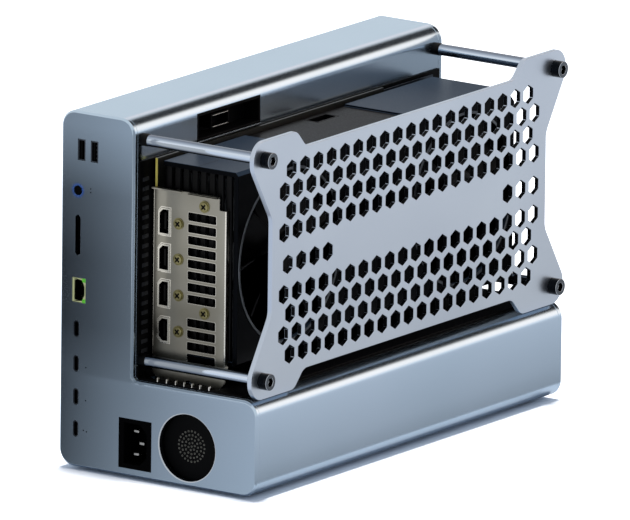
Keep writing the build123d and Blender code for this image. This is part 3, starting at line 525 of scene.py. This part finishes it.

# %% [markdown]
# A socket is a thin plated shell round a black moulded tongue. From the front
# only the shell's rim shines. Deeper in, the shade of the mouth is painted on
# the shell's inner walls as black. A dark lining could be a piece of its own,
# but it would be thinner than paper. Depth behind the rim chooses between the
# plating and the painted shade, which keeps the mouths as dark as they really
# look.

# %% Sockets with a bright rim and painted shade inside
def shell_with_painted_shade(name, rim_depth, rim, inside, metallic=1.0):
    """A shell of one tint in front of a depth, in mm off the body's front, and painted shade behind it."""
    material, tree = blank(name)
    place = add(tree, "TexCoord").outputs["Object"]
    parts = add(tree, "SeparateXYZ", {0: place})
    behind = add(tree, "Math", {0: parts.outputs["Y"]}, operation="GREATER_THAN")
    behind.inputs[1].default_value = spot(0, rim_depth, 0).y
    scuff = add(tree, "TexNoise", {"Vector": place}, Scale=1 / (0.7 * mm), Detail=2.0)
    polish = add(tree, "MapRange", {"Value": scuff.outputs["Fac"]}, To_Min=0.2, To_Max=0.36)
    tint = add(tree, "ValToRGB", {"Fac": behind.outputs[0]}, [(0.45, linear(rim)), (0.55, linear(inside))])
    plated = add(tree, "MapRange", {"Value": behind.outputs[0]}, To_Min=metallic, To_Max=0.0)
    skin = add(tree, "BsdfPrincipled", {"Base Color": tint.outputs["Color"], "Metallic": plated.outputs[0],
                                        "Roughness": polish.outputs[0]}, Specular_IOR_Level=0.2)
    add(tree, "OutputMaterial", {"Surface": skin.outputs[0]})
    return material


front_shell_painted_shade = shell_with_painted_shade("socket_plating_painted_shade", 0.9, "6a7079", "050506")
video_shell_painted_shade = shell_with_painted_shade("video_plating_painted_shade", span("video_ports")[0].y + 1.0, "dedcd2", "050506")
# The jack's housing is ivory nylon. The depth of its mouth gets painted shade, black.
ivory_jack_painted_shade = shell_with_painted_shade("ivory_jack_painted_shade", 1.0, "ced198", "040405", 0.0)
print("socket shells", front_shell_painted_shade.name, video_shell_painted_shade.name, ivory_jack_painted_shade.name)

# %% [markdown]
# The jack's two corner lights are green lenses. A lamp behind each would also
# light the mouth round it. A faint glow of the lens itself is enough to keep
# its colour in the black mouth.

# %% Lamp lens
green_lens, tree = blank("green_polycarbonate_lens")
place = add(tree, "TexCoord").outputs["Object"]
haze = add(tree, "TexNoise", {"Vector": place}, Scale=1 / (1.0 * mm), Detail=1.0)
tint = add(tree, "ValToRGB", {"Fac": haze.outputs["Fac"]}, [(0.3, linear("3d9a1c")), (0.7, linear("66c038"))])
skin = add(tree, "BsdfPrincipled", {"Base Color": tint.outputs["Color"],
                                    "Emission Color": tint.outputs["Color"]},
           Roughness=0.25, IOR=1.58, Emission_Strength=0.35)
add(tree, "OutputMaterial", {"Surface": skin.outputs[0]})
print("lens", green_lens.name)

# %% [markdown]
# Every solid that stays in view gets one of these finishes in place of the
# plain colour it came with. They could be set one at a time; one table shows
# at a glance what is made of what.

# %% Dress the solids
solid_finish = {
    blasted_aluminium: ["body_shell", "front_plate", "rear_plate"],
    plate_aluminium: ["side_panel"],
    rod_steel_painted_reflection: ["panel_rod_front_low", "panel_rod_front_high", "panel_rod_rear_low",
                  "panel_rod_rear_high"],
    screw_steel_painted_highlight: ["panel_screws"],
    powder_coat: ["nook_liner", "psu_case", "power_pocket"],
    pad_rubber: ["rubber_feet"],
    black_phenolic: ["power_inlet"],
    black_abs: ["power_button", "card_fan_motors", "psu_fan_frame", "psu_fan_rotor"],
    black_nylon: ["button_switch", "flat_port_tongues", "oval_port_tongues", "memory_card_reader",
                  "power_socket", "card_power_socket", "card_slot", "video_port_tongues"],
    front_shell_painted_shade: ["flat_port_shells", "oval_port_shells"],
    video_shell_painted_shade: ["video_ports"],
    ivory_jack_painted_shade: ["network_jack"],
    green_lens: ["network_jack_lights"],
    tinned_brass: ["inlet_pins"],
    green_mask: ["dock_board", "slot_board"],
    raw_board: ["card_board"],
    turned_brass: ["board_spacers"],
    dull_fins: ["board_heatsink", "card_heatsink"],
    rolled_steel: ["card_bracket"],
    dark_sheet: ["card_backplate"],
    cover_paint: ["card_shroud"],
    fan_pbt: ["card_fan_front", "card_fan_rear"],
}
finish_of = {name: finish for finish, names in solid_finish.items() for name in names}
for name, finish in finish_of.items():
    nodes[name].material_slots[0].material = finish
print("dressed", len(finish_of), "of", len(nodes), "solids")

# %% [markdown]
# New pieces are modelled as by hand: a primitive, shaped in edit mode, then a
# modifier or two. Every operator acts on what is selected, so a few helpers
# see to that: one leaves a single piece selected, one picks faces or edges by
# a rule, one applies a modifier, one rounds edges with it, and one settles the
# finished piece on its body.

# %% Modelling helpers
def alone(piece):
    """Object mode, with one piece selected and active."""
    if bpy.context.object and bpy.context.object.mode != "OBJECT":
        bpy.ops.object.mode_set(mode="OBJECT")
    bpy.ops.object.select_all(action="DESELECT")
    piece.select_set(True)
    bpy.context.view_layer.objects.active = piece


def pick(piece, kind, wanted):
    """Edit mode, with only those faces or edges selected that wanted(item) accepts."""
    alone(piece)
    bpy.ops.object.mode_set(mode="EDIT")
    bpy.ops.mesh.select_mode(type=kind)
    bpy.ops.mesh.select_all(action="DESELECT")
    mesh = bmesh.from_edit_mesh(piece.data)
    for item in [i for i in (mesh.faces if kind == "FACE" else mesh.edges) if wanted(i)]:
        item.select_set(True)
    mesh.select_flush_mode()
    bmesh.update_edit_mesh(piece.data)


def modify(piece, kind, **settings):
    """Adds a modifier with its settings and applies it."""
    alone(piece)
    step = piece.modifiers.new(kind.lower(), kind)
    for name, value in settings.items():
        setattr(step, name, value)
    bpy.ops.object.modifier_apply(modifier=step.name)


def soften(piece, width, segments=2):
    """Rounds what is sharper than 40 degrees over a width in mm."""
    modify(piece, "BEVEL", width=width * mm, segments=segments, limit_method="ANGLE",
           angle_limit=math.radians(40))


def dress(piece, finish, body="enclosure", sharp=35):
    """Settles a finished piece at the origin with its finish and the body it rides on."""
    alone(piece)
    bpy.ops.object.transform_apply(location=True, rotation=True, scale=True)
    bpy.ops.object.shade_smooth_by_angle(angle=math.radians(sharp))
    piece.data.materials.clear()
    piece.data.materials.append(finish)
    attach(piece, body)
    print(piece.name, len(piece.data.polygons), "faces")
    return piece


print("helpers ready")

# %% [markdown]
# No edge on the real object is a knife edge: cut plates are deburred,
# mouldings have a small radius, and each such edge carries a fine line of
# light. Picking them by hand would be endless. The solids are copied, their
# triangles merged back into whole faces, and a Bevel modifier rounds what is
# sharp. Each copy stands for its solid.

# %% Ease the edges
def eased(node, width, body="enclosure", corners=None):
    """A copy of a solid with its sharp edges rounded over a width in mm, chosen corners more."""
    alone(nodes[node])
    bpy.ops.object.duplicate(linked=False)
    piece = bpy.context.object
    piece.name = node + "_eased"
    bpy.ops.object.parent_clear(type="CLEAR_KEEP_TRANSFORM")
    for mark in [key for key in piece.keys() if key.startswith("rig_")]:
        del piece[mark]
    pick(piece, "FACE", lambda face: True)
    bpy.ops.mesh.remove_doubles(threshold=0.005 * mm)
    bpy.ops.mesh.dissolve_limited(angle_limit=math.radians(0.5))
    if corners:
        pick(piece, "EDGE", corners)
        bpy.ops.mesh.bevel(offset=0.75 * mm, segments=3)
    if width:
        soften(piece, width)
    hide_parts(node)
    dress(piece, finish_of[node], body)
    modify(piece, "WEIGHTED_NORMAL", weight=100, keep_sharp=True)
    return piece


edge_widths = {
    "body_shell": 0.15, "rear_plate": 0.5, "side_panel": 0.35,
    "panel_screws": 0.45, "card_shroud": 0.4, "power_inlet": 0.25,
    "nook_liner": 0.2, "rubber_feet": 0.6, "power_pocket": 0.2, "power_socket": 0.2,
    "video_ports": 0.12, "card_backplate": 0.15, "network_jack": 0.12, "inlet_pins": 0.7,
    "card_power_socket": 0.15, "memory_card_reader": 0.15,
}
for node, width in edge_widths.items():
    eased(node, width)
eased("power_button", 0.3, "power_button")

# %% [markdown]
# Two pieces are rounded more in places. The vents of the bracket have round
# corners, picked as edges that run through the sheet; its thin edges stay
# sharp here, because rims of their own follow below. The round opening of the
# front plate has a broader lip, picked by its distance from the fan's axis.
# Round cutters could shape both, but a bevel on the picked edges leaves
# cleaner faces.

# %% Rounder corners
axis_of = {joint["child"]: Vector(joint["pos_m"]) for joint in frame["joints"] if "pos_m" in joint}
opening_radius = 20.0
vents_from, vents_to, vents_above = 80, 103, 72


def from_fan_axis(point):
    """How far a point is from the axis of the fan in the foot, in mm."""
    return math.hypot(point.x - axis_of["psu_fan"].x, point.z - axis_of["psu_fan"].z) / mm


def opening_lip(edge):
    """True for an edge round the front of the foot's round opening."""
    return all(abs(from_fan_axis(v.co) - opening_radius) < 0.2 and v.co.y < spot(0, 0.1, 0).y
               for v in edge.verts)


def vent_corner(edge):
    """True for an edge through the sheet at a corner of a vent slot."""
    start, end = (vertex.co for vertex in edge.verts)
    through = abs(start.y - end.y) > 0.5 * mm and abs(start.x - end.x) + abs(start.z - end.z) < 0.1 * mm
    across = spot(vents_from, 0, 0).x < start.x < spot(vents_to, 0, 0).x
    return through and across and start.z > spot(0, 0, vents_above).z


plate = eased("front_plate", 0.22, corners=opening_lip)
bracket = eased("card_bracket", 0, corners=vent_corner)

# %% [markdown]
# Inside the honeycomb the plate's cut walls get painted shade, near black,
# while its rims stay bright. So does the wall of the round opening behind its
# lip. That lip and the bracket's sheared edges get a painted highlight, partly
# the bare metal of a cut and partly light caught on the edge. Sleeves could
# line all these holes, but hundreds of them would be needed. Such faces are
# told from the rest by the way they look, their size or their place, and get a
# finish of their own.

# %% Walls and edges
def coat(piece, finish, wanted):
    """Gives another finish to the faces that wanted(face) accepts."""
    piece.data.materials.append(finish)
    last = len(piece.data.materials) - 1
    pick(piece, "FACE", wanted)
    piece.active_material_index = last
    bpy.ops.object.material_slot_assign()
    alone(piece)
    coated = [face for face in piece.data.polygons if face.material_index == last]
    print(piece.name, "faces of", finish.name, len(coated))


hole_wall_area = (9, 15)
# Painted shade on the cut walls of the honeycomb and of the round opening.
coat(bpy.data.objects["side_panel_eased"], hole_wall_painted_shade, lambda face: abs(face.normal.x) < 0.1
     and hole_wall_area[0] < face.calc_area() / mm ** 2 < hole_wall_area[1])
coat(plate, hole_wall_painted_shade, lambda face: abs(face.normal.y) < 0.1
     and from_fan_axis(face.calc_center_median()) < opening_radius + 0.5)
# Painted highlight on the round lip, partly bare cut aluminium.
coat(plate, cut_lip_painted_highlight, lambda face: -0.97 < face.normal.y < -0.1
     and from_fan_axis(face.calc_center_median()) < opening_radius + 1.0)
# Painted highlight on the bracket's sheared edges and vent corners.
coat(bracket, sheared_edge_painted_highlight, lambda face: -0.96 < face.normal.y < 0.3 and face.calc_area() < 30 * mm ** 2)

# %% [markdown]
# Where each rod leaves the leg, its first few millimetres show black. A plain
# tube would end in a hard ring. This is a short black sleeve round the rod: a
# cylinder with its rim rounded and its end face drawn in, made once and copied
# to the four rods. Two more helpers start here: one adds a primitive, alone in
# the selection, and one copies a piece to all its places.

# %% Black rod roots
def fresh(name, kind, place, **size):
    """Adds one primitive at a place, alone in the selection."""
    if bpy.context.object and bpy.context.object.mode != "OBJECT":
        bpy.ops.object.mode_set(mode="OBJECT")
    bpy.ops.object.select_all(action="DESELECT")
    getattr(bpy.ops.mesh, "primitive_" + kind + "_add")(location=place, **size)
    bpy.context.object.name = name
    return bpy.context.object


def spread(piece, places):
    """Puts a piece at the first place and a copy with its own mesh at each other, all joined."""
    copies = []
    for place in places[1:]:
        alone(piece)
        bpy.ops.object.duplicate(linked=False)
        bpy.context.object.location = place
        copies.append(bpy.context.object)
    piece.location = places[0]
    alone(piece)
    for copy in copies:
        copy.select_set(True)
    if copies:
        bpy.ops.object.join()
    return piece


rod_names = ["panel_rod_front_low", "panel_rod_front_high", "panel_rod_rear_low", "panel_rod_rear_high"]
root_length = 4.8
places = []
for name in rod_names:
    low, high = span(name)
    places.append(spot(low.x + root_length / 2, (low.y + high.y) / 2, (low.z + high.z) / 2))
rod_radius = (high.y - low.y) / 2
root_sleeve = fresh("black_rod_roots", "cylinder", places[0], vertices=40, radius=(rod_radius + 0.25) * mm,
             depth=root_length * mm, rotation=(0, math.radians(90), 0))
pick(root_sleeve, "FACE", lambda face: face.normal.z > 0.9)
bpy.ops.mesh.inset(thickness=0.2 * mm)
bpy.ops.transform.translate(value=(0.6 * mm, 0, 0))
soften(root_sleeve, 0.25, 3)
dress(spread(root_sleeve, places), black_abs)

# %% [markdown]
# The power button sits in a ring of blue light. On the real thing light leaks
# from the gap round the button and fades over the plate. A lamp in the gap
# would need a gap as fine as the real one, so the piece is a thin washer whose
# glow falls off from its inner edge. Its material measures the distance from
# the button's own middle.

# %% Glow washer
low, high = span("power_button")
button_middle = spot((low.x + high.x) / 2, -0.05, (low.z + high.z) / 2)
brightest_radius, washer_hole, glow_radius = 2.3, 2.95, 5.4
blue_glow, tree = blank("blue_light_leak")
place = add(tree, "TexCoord").outputs["Object"]
offset = add(tree, "VectorMath", {0: place}, operation="SUBTRACT")
offset.inputs[1].default_value = button_middle
reach = add(tree, "VectorMath", {0: offset.outputs[0]}, operation="LENGTH")
fade = add(tree, "MapRange", {"Value": reach.outputs["Value"]}, interpolation_type="SMOOTHSTEP",
           From_Min=brightest_radius * mm, From_Max=glow_radius * mm, To_Min=0.36, To_Max=0.0)
skin = add(tree, "BsdfPrincipled", {"Alpha": fade.outputs[0]}, Base_Color=linear("1d4f9e"), Roughness=0.5,
           Emission_Color=linear("2f6fd0"), Emission_Strength=0.25)
add(tree, "OutputMaterial", {"Surface": skin.outputs[0]})

washer = fresh("button_glow", "circle", button_middle, vertices=64, radius=glow_radius * mm,
               fill_type="NGON", rotation=(math.radians(90), 0, 0))
pick(washer, "FACE", lambda face: True)
bpy.ops.mesh.inset(thickness=(glow_radius - washer_hole) * mm)
bpy.ops.mesh.delete(type="FACE")
modify(washer, "SOLIDIFY", thickness=0.03 * mm, offset=0.0)
dress(washer, blue_glow)

# %% [markdown]
# Beside the sockets are pin-sized status lights, dark while they are off. Dots
# in the plate's finish would look printed on. Each is a tiny lens instead: a
# short cylinder, its face drawn in and pushed out a hair.

# %% Status lights
lights = [(21.5, 167.2), (21.5, 169.3), (19.2, 61.0), (19.2, 41.0), (17.8, 22.8), (20.0, 22.2)]
pin = fresh("status_lights", "cylinder", (0, 0, 0), vertices=16, radius=0.42 * mm,
            depth=0.08 * mm, rotation=(math.radians(90), 0, 0))
pick(pin, "FACE", lambda face: face.normal.z > 0.9)
bpy.ops.mesh.inset(thickness=0.15 * mm)
bpy.ops.transform.translate(value=(0, -0.04 * mm, 0))
dress(spread(pin, [spot(x, -0.02, z) for x, z in lights]), black_nylon)

# %% [markdown]
# Down the front of the liner's wall runs a ladder of short ribs in painted
# shade, the dark grey of the aluminium wall in shade. Along the front of its
# floor stands a row of thin near-white ticks, painted highlights for light
# caught on the floor there. Relief in the material would not show against the
# light. Both are small bars with rounded edges, made once and copied in a row.
# Many small pieces start as a box, so a helper adds one with its sides in
# millimetres.

# %% Liner ribs and ticks
def block(name, place, *sides):
    """Adds a box at a place, its sides in mm."""
    piece = fresh(name, "cube", place, size=1.0, scale=[side * mm for side in sides])
    bpy.ops.object.transform_apply(location=False, rotation=False, scale=True)
    return piece


low, high = span("nook_liner")
liner_sheet = 1.2
wall_face, rib_y = low.x + liner_sheet, 10.3
rib_first, rib_pitch, rib_count = 74.6, 5.75, 19
rib = block("liner_wall_ribs", spot(wall_face, rib_y, rib_first), 0.7, 6.2, 2.4)
soften(rib, 0.22)
dress(spread(rib, [spot(wall_face, rib_y, rib_first + n * rib_pitch) for n in range(rib_count)]),
      rib_grey_painted_shade)

# The floor's ticks are painted highlights in near-white tinned brass.
tick_y, tick_z = 4.6, low.z + liner_sheet + 1.0
tick_xs = (68.0, 74.5, 81.0, 87.0, 92.7, 98.4, 105.0)
tick = block("liner_floor_highlight_ticks", spot(tick_xs[0], tick_y, tick_z), 0.6, 1.6, 2.4)
pick(tick, "EDGE", lambda edge: all(v.co.z > 0 for v in edge.verts))
bpy.ops.mesh.bevel(offset=0.2 * mm, segments=2)
dress(spread(tick, [spot(x, tick_y, tick_z) for x in tick_xs]), tinned_brass)

# A thin black sheet covers the foot's top up to the start of the rounded edge.
lip_from, lip_to = high.x - 1.0, span("body_shell")[1].x - 11.5
lip = block("foot_top_black_strip", spot((lip_from + lip_to) / 2, (low.y + high.y) / 2, low.z + 0.15),
            lip_to - lip_from, high.y - low.y - 2.0, 0.3)
pick(lip, "EDGE", lambda edge: all(v.co.z > 0 for v in edge.verts))
bpy.ops.mesh.bevel(offset=0.12 * mm, segments=2)
dress(lip, powder_coat)

# %% [markdown]
# Six cross-head screws hold the sockets and the cooler to the bracket. A dark
# cross could be drawn on a disc, but from the side it would lie flat. One
# screw is turned from a cylinder: its rim is rounded, a washer flange is left
# at its foot and a cross is cut from its head with two bars.

# %% Bracket screws
bracket_face = 15.6
head_radius, head_height, flange = 3.1, 1.5, 0.6
screw_spots = [(73.9, 153.0), (73.9, 131.5), (74.2, 109.8), (74.3, 88.0), (92.3, 165.8), (93.0, 101.5)]
screw = fresh("bracket_screws", "cylinder", (0, 0, 0), vertices=32, radius=(head_radius + 0.4) * mm,
              depth=flange * mm, rotation=(math.radians(90), 0, 0))
pick(screw, "FACE", lambda face: face.normal.z > 0.9)
bpy.ops.mesh.inset(thickness=0.6 * mm)
bpy.ops.mesh.extrude_region_move(TRANSFORM_OT_translate={"value": (0, -(head_height - flange) * mm, 0)})
bpy.ops.mesh.bevel(offset=0.35 * mm, segments=3)
for turn in (40, 130):
    bar = block("cross_bar", (0, -head_height * mm, 0), 4.0, 1.8, 1.15)
    bar.rotation_euler.y = math.radians(turn)
    modify(screw, "BOOLEAN", operation="DIFFERENCE", object=bar, solver="EXACT")
    bpy.data.objects.remove(bar)
dress(spread(screw, [spot(x, bracket_face - 0.3, z) for x, z in screw_spots]), yellow_zinc)
recess = fresh("bracket_screw_recesses", "cylinder", (0, 0, 0), vertices=16, radius=1.9 * mm,
               depth=0.1 * mm, rotation=(math.radians(90), 0, 0))
pick(recess, "FACE", lambda face: face.normal.z > 0.9)
bpy.ops.mesh.inset(thickness=0.4 * mm)
dress(spread(recess, [spot(x, bracket_face - 0.93, z) for x, z in screw_spots]), black_nylon)

# %% [markdown]
# The punch presses the edge of each vent and socket opening flat, and these
# narrow flats carry a painted highlight, the brightest lines on the bracket. A
# bevel on the sheet would run together on the thin bars between the vents, so
# each rim is a piece let into the sheet: a thin box with its corners rounded or
# cut. The insets of its two faces are bridged into an opening and its edges are
# eased. One is made for each kind and copied.

# %% Pressed rims
def pressed_rim(name, size, flat, cut, segments, at_corner):
    """A frame round an opening, sizes in mm; flat is its width, at_corner(place) picks corners to cut."""
    rim = block(name, (0, 0, 0), size[0] + 2 * flat, rim_depth, size[1] + 2 * flat)
    pick(rim, "EDGE", lambda edge: abs(edge.verts[0].co.y - edge.verts[1].co.y) > 0.1 * mm
         and at_corner(edge.verts[0].co))
    bpy.ops.mesh.bevel(offset=cut * mm, segments=segments)
    pick(rim, "FACE", lambda face: abs(face.normal.y) > 0.9)
    bpy.ops.mesh.inset(thickness=(flat + 0.05) * mm)
    bpy.ops.mesh.bridge_edge_loops()
    bpy.ops.mesh.select_all(action="SELECT")
    bpy.ops.mesh.normals_make_consistent(inside=False)
    soften(rim, 0.06)
    return rim


rim_depth = 0.5
rim_y = bracket_face + 0.17
bracket_left = span("card_bracket")[0].x
vent_x, vent_size, vent_pitch = bracket_left + 34.9, (20.2, 5.2), 7.1
vent_zs = [first + n * vent_pitch for first, count in ((73.2, 4), (108.8, 8)) for n in range(count)]
# The vent rims and the socket rims carry painted highlights.
rim = pressed_rim("vent_rims", vent_size, 0.3, 1.0, 3, lambda place: True)
dress(spread(rim, [spot(vent_x, rim_y, z) for z in vent_zs]), sheared_edge_painted_highlight)
video_x, video_width = bracket_left + 7.8, 8.6
rim = pressed_rim("socket_rims", (video_width, 16.6), 0.6, 2.75, 1, lambda place: place.x < 0 < place.z)
dress(spread(rim, [spot(video_x, rim_y, z) for z in (153.1, 131.2, 109.6)]), warm_white_painted_highlight)
rim = pressed_rim("tapered_socket_rim", (video_width, 15.4), 0.6, 2.75, 1, lambda place: place.x < 0)
dress(spread(rim, [spot(video_x, rim_y, 87.8)]), warm_white_painted_highlight)

# %% [markdown]
# Both long edges of the bracket are sheared and deburred, and show as a bright
# upright line. The sheet's own side faces look away from the camera. So each
# line is a painted highlight: a thin near-white bar with its edges eased, let
# into the front of the sheet.

# %% Painted edge highlights
edge_foot = 64.7
for name, left, width, top in (("edge_highlight_strip_left", bracket_left, 0.6, 173.0),
                               ("edge_highlight_strip_right", span("card_bracket")[1].x - 1.0, 1.0, 165.0)):
    edge = block(name, spot(left + width / 2, rim_y, (edge_foot + top) / 2),
                 width, rim_depth, top - edge_foot)
    soften(edge, 0.12)
    dress(edge, warm_white_painted_highlight)

# %% [markdown]
# The front end of the cooler's cover is closed by a grille of upright bars,
# seen above the bracket and dimly through its vents. An Array modifier could
# make the row; copies give the same and each can be put in its place. One bar
# is a tall box with a rounded nose, copied across the opening.

# %% Front grille
low, high = span("card_shroud")
grille_z = (low.z + 2.6, high.z - 2.6)
bar_pitch, bar_width = 6.15, 4.0
bar_xs = [low.x + 3.4 + n * bar_pitch for n in range(8)]
bar = block("front_grille", spot(bar_xs[0], low.y + 1.5, sum(grille_z) / 2), bar_width, 2.0,
            grille_z[1] - grille_z[0])
pick(bar, "EDGE", lambda edge: all(v.co.y < 0 for v in edge.verts)
     and abs(edge.verts[0].co.z - edge.verts[1].co.z) > 0.01)
bpy.ops.mesh.bevel(offset=0.9 * mm, segments=4)
dress(spread(bar, [spot(x, low.y + 1.5, sum(grille_z) / 2) for x in bar_xs]), black_abs)

# %% [markdown]
# Each fan wheel is a round hub with nine cambered blades. The solid is a plain
# version with flat blades; this one keeps its size, its pitch and its axis. A
# blade could be drawn as curves and skinned, which takes many points. Here it
# starts as a flat grid, is tapered, bent and twisted with simple deform
# modifiers, thickened and rounded, then copied round the hub.

# %% Fan wheels
hub_radius, tip_radius, wheel_depth, blade_count = 17.0, 48.2, 12.0, 9
blade_chord, blade_pitch = 19.0, math.radians(30)


def fan_wheel(name, node):
    """A fan wheel about the X axis through its joint, standing for a solid wheel."""
    back_of_hub = axis_of[node]
    hub = fresh(name, "cylinder", back_of_hub + Vector((wheel_depth / 2, 0, 0)) * mm, vertices=48,
                radius=hub_radius * mm, depth=wheel_depth * mm, rotation=(0, math.radians(90), 0))
    pick(hub, "FACE", lambda face: face.normal.z > 0.9)
    bpy.ops.mesh.bevel(offset=2.2 * mm, segments=4)
    pick(hub, "FACE", lambda face: face.normal.z > 0.99)
    bpy.ops.mesh.inset(thickness=2.0 * mm)
    bpy.ops.mesh.inset(thickness=0.5 * mm)
    bpy.ops.transform.translate(value=(-0.5 * mm, 0, 0))
    blade_root = hub_radius - 2.0
    blade_span = tip_radius - 0.9 - blade_root
    blade = fresh("fan_blade", "grid", (0, 0, 0), x_subdivisions=8, y_subdivisions=10, size=1.0)
    blade.scale = (blade_chord * mm, blade_span * mm, 1.0)
    bpy.ops.object.transform_apply(location=False, rotation=False, scale=True)
    modify(blade, "SIMPLE_DEFORM", deform_method="TAPER", deform_axis="Y", factor=0.35)
    modify(blade, "SIMPLE_DEFORM", deform_method="BEND", deform_axis="Y", angle=math.radians(38))
    modify(blade, "SIMPLE_DEFORM", deform_method="TWIST", deform_axis="Y", angle=math.radians(-12))
    modify(blade, "SOLIDIFY", thickness=1.1 * mm, offset=0.0)
    soften(blade, 0.3)
    pick(blade, "FACE", lambda face: True)
    bpy.ops.mesh.normals_make_consistent(inside=False)
    alone(blade)
    pitched = (Matrix.Rotation(math.radians(90), 4, "X")
               @ Matrix.Rotation(math.radians(90) - blade_pitch, 4, "Y"))
    outward = Matrix.Translation(Vector((0, 0, (blade_root + blade_span / 2) * mm)))
    middle = Matrix.Translation(back_of_hub + Vector((wheel_depth / 2, 0, 0)) * mm)
    blades = [blade]
    for number in range(1, blade_count):
        alone(blade)
        bpy.ops.object.duplicate(linked=False)
        blades.append(bpy.context.object)
    for number, copy in enumerate(blades):
        round_hub = Matrix.Rotation(math.pi + 2 * math.pi * number / blade_count, 4, "X")
        copy.matrix_world = middle @ round_hub @ outward @ pitched
    alone(hub)
    for copy in blades:
        copy.select_set(True)
    bpy.ops.object.join()
    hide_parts(node)
    return dress(hub, fan_pbt, node)


for node in ("card_fan_front", "card_fan_rear"):
    fan_wheel(node + "_wheel", node)

# %% [markdown]
# A thin bright bead runs round each fan opening in the cover; in the
# photograph it is the one arc of light in the black side. A torus would be
# round in section, and the bead is flat. So a circle is drawn out to a flat
# ring, thickened, and its edges rounded.

# %% Fan opening beads
cover_side = span("card_shroud")[1].x
bead_radius, bead_width = 51.0, 1.7
growth = (bead_radius + bead_width) / bead_radius
for node in ("card_fan_front", "card_fan_rear"):
    place = Vector((spot(cover_side + 0.1, 0, 0).x, axis_of[node].y, axis_of[node].z))
    bead = fresh(node + "_bead", "circle", place, vertices=96, radius=bead_radius * mm, fill_type="NOTHING",
                 rotation=(0, math.radians(90), 0))
    pick(bead, "EDGE", lambda edge: True)
    bpy.ops.mesh.extrude_edges_move()
    bpy.ops.transform.resize(value=(1, growth, growth), center_override=place)
    modify(bead, "SOLIDIFY", thickness=0.7 * mm, offset=0.0)
    soften(bead, 0.25)
    pick(bead, "FACE", lambda face: True)
    bpy.ops.mesh.normals_make_consistent(inside=False)
    dress(bead, dull_fins)

# %% [markdown]
# In the round opening of the foot sits a black guard plate. Its middle is
# pierced with small holes, each with a point of light. Dots in the finish would
# not be holes in the mesh. The holes are cut with one joined cutter. The points
# of light are painted glints: small steel-grey rings on the black sheet, made
# once and copied to circles about the middle.

# %% Guard plate
guard_axis = axis_of["psu_fan"]
guard_depth, guard_radius, guard_sheet = 5.2, 19.8, 0.6
guard_middle = Vector((guard_axis.x, spot(0, guard_depth, 0).y, guard_axis.z))
rings, ring_step = 5, 2.3
holes = []
for ring in range(rings):
    count = max(6 * ring, 1)
    for turn in (2 * math.pi * n / count + 0.26 * ring for n in range(count)):
        holes.append(guard_middle + Vector((math.cos(turn), 0, math.sin(turn))) * ring * ring_step * mm)
plate = fresh("fan_guard", "cylinder", guard_middle, vertices=64, radius=guard_radius * mm,
              depth=guard_sheet * mm, rotation=(math.radians(90), 0, 0))
pick(plate, "FACE", lambda face: face.normal.z > 0.9)
bpy.ops.mesh.inset(thickness=0.3 * mm)
bpy.ops.mesh.inset(thickness=1.2 * mm)
bpy.ops.transform.translate(value=(0, 0.15 * mm, 0))
drill = fresh("guard_drill", "cylinder", (0, 0, 0), vertices=8, radius=0.38 * mm, depth=3 * mm,
              rotation=(math.radians(90), 0, 0))
spread(drill, holes)
modify(plate, "BOOLEAN", operation="DIFFERENCE", object=drill, solver="EXACT")
bpy.data.objects.remove(drill)
dress(plate, powder_coat)
# Painted glints: grey steel rings round the holes of the black plate.
rim = fresh("fan_guard_glint_rims", "circle", (0, 0, 0), vertices=8, radius=0.58 * mm, fill_type="NGON",
            rotation=(math.radians(90), 0, 0))
pick(rim, "FACE", lambda face: True)
bpy.ops.mesh.inset(thickness=0.17 * mm)
bpy.ops.mesh.delete(type="FACE")
modify(rim, "SOLIDIFY", thickness=0.25 * mm, offset=0.0)
pick(rim, "FACE", lambda face: True)
bpy.ops.mesh.normals_make_consistent(inside=False)
dress(spread(rim, [hole - Vector((0, 0.2, 0)) * mm for hole in holes]), rolled_steel)
print("guard holes", len(holes))

# %% [markdown]
# Contacts show as dashes of light in the dark sockets: two rows along the
# power outlet in the pocket and four springs in the second flat socket. Each
# is a tiny strip of metal. Bent strips would hardly differ at this size, so it
# is a bar with rounded edges, copied along its row.

# %% Contacts
low, high = span("power_socket")
dash_count, dash_length = 10, 1.35
step = (high.y - low.y - 3.0) / dash_count
dash = block("outlet_contacts", (0, 0, 0), 0.5, dash_length, 0.5)
soften(dash, 0.12)
rows = [spot(high.x + 0.1, low.y + 1.5 + step * (n + 0.5), z) for z in (low.z + 0.9, high.z - 0.9)
        for n in range(dash_count)]
dress(spread(dash, rows), tinned_brass)

low, high = span("flat_port_shells")
spring = block("flat_port_contacts", (0, 0, 0), 0.5, 1.2, 0.8)
soften(spring, 0.15)
middle_z = (low.z + high.z) / 2
dress(spread(spring, [spot(high.x - 1.3, 1.4, middle_z + 2.5 * n) for n in (-1.5, -0.5, 0.5, 1.5)]),
      dull_fins)

# %% [markdown]
# The cover's top is moulded in parts, and a fine seam shows where the front
# cap meets them. A groove could be cut, but the cover would lose its plain
# faces. It is a shallow dark strip let into the top.

# %% Cover seam
low, high = span("card_shroud")
seam = block("cover_seam", spot(85.0, low.y + 10.5, high.z), 0.35, 20.0, 0.06)
pick(seam, "EDGE", lambda edge: all(v.co.z > 0 for v in edge.verts))
bpy.ops.mesh.bevel(offset=0.02 * mm, segments=1)
dress(seam, black_nylon)
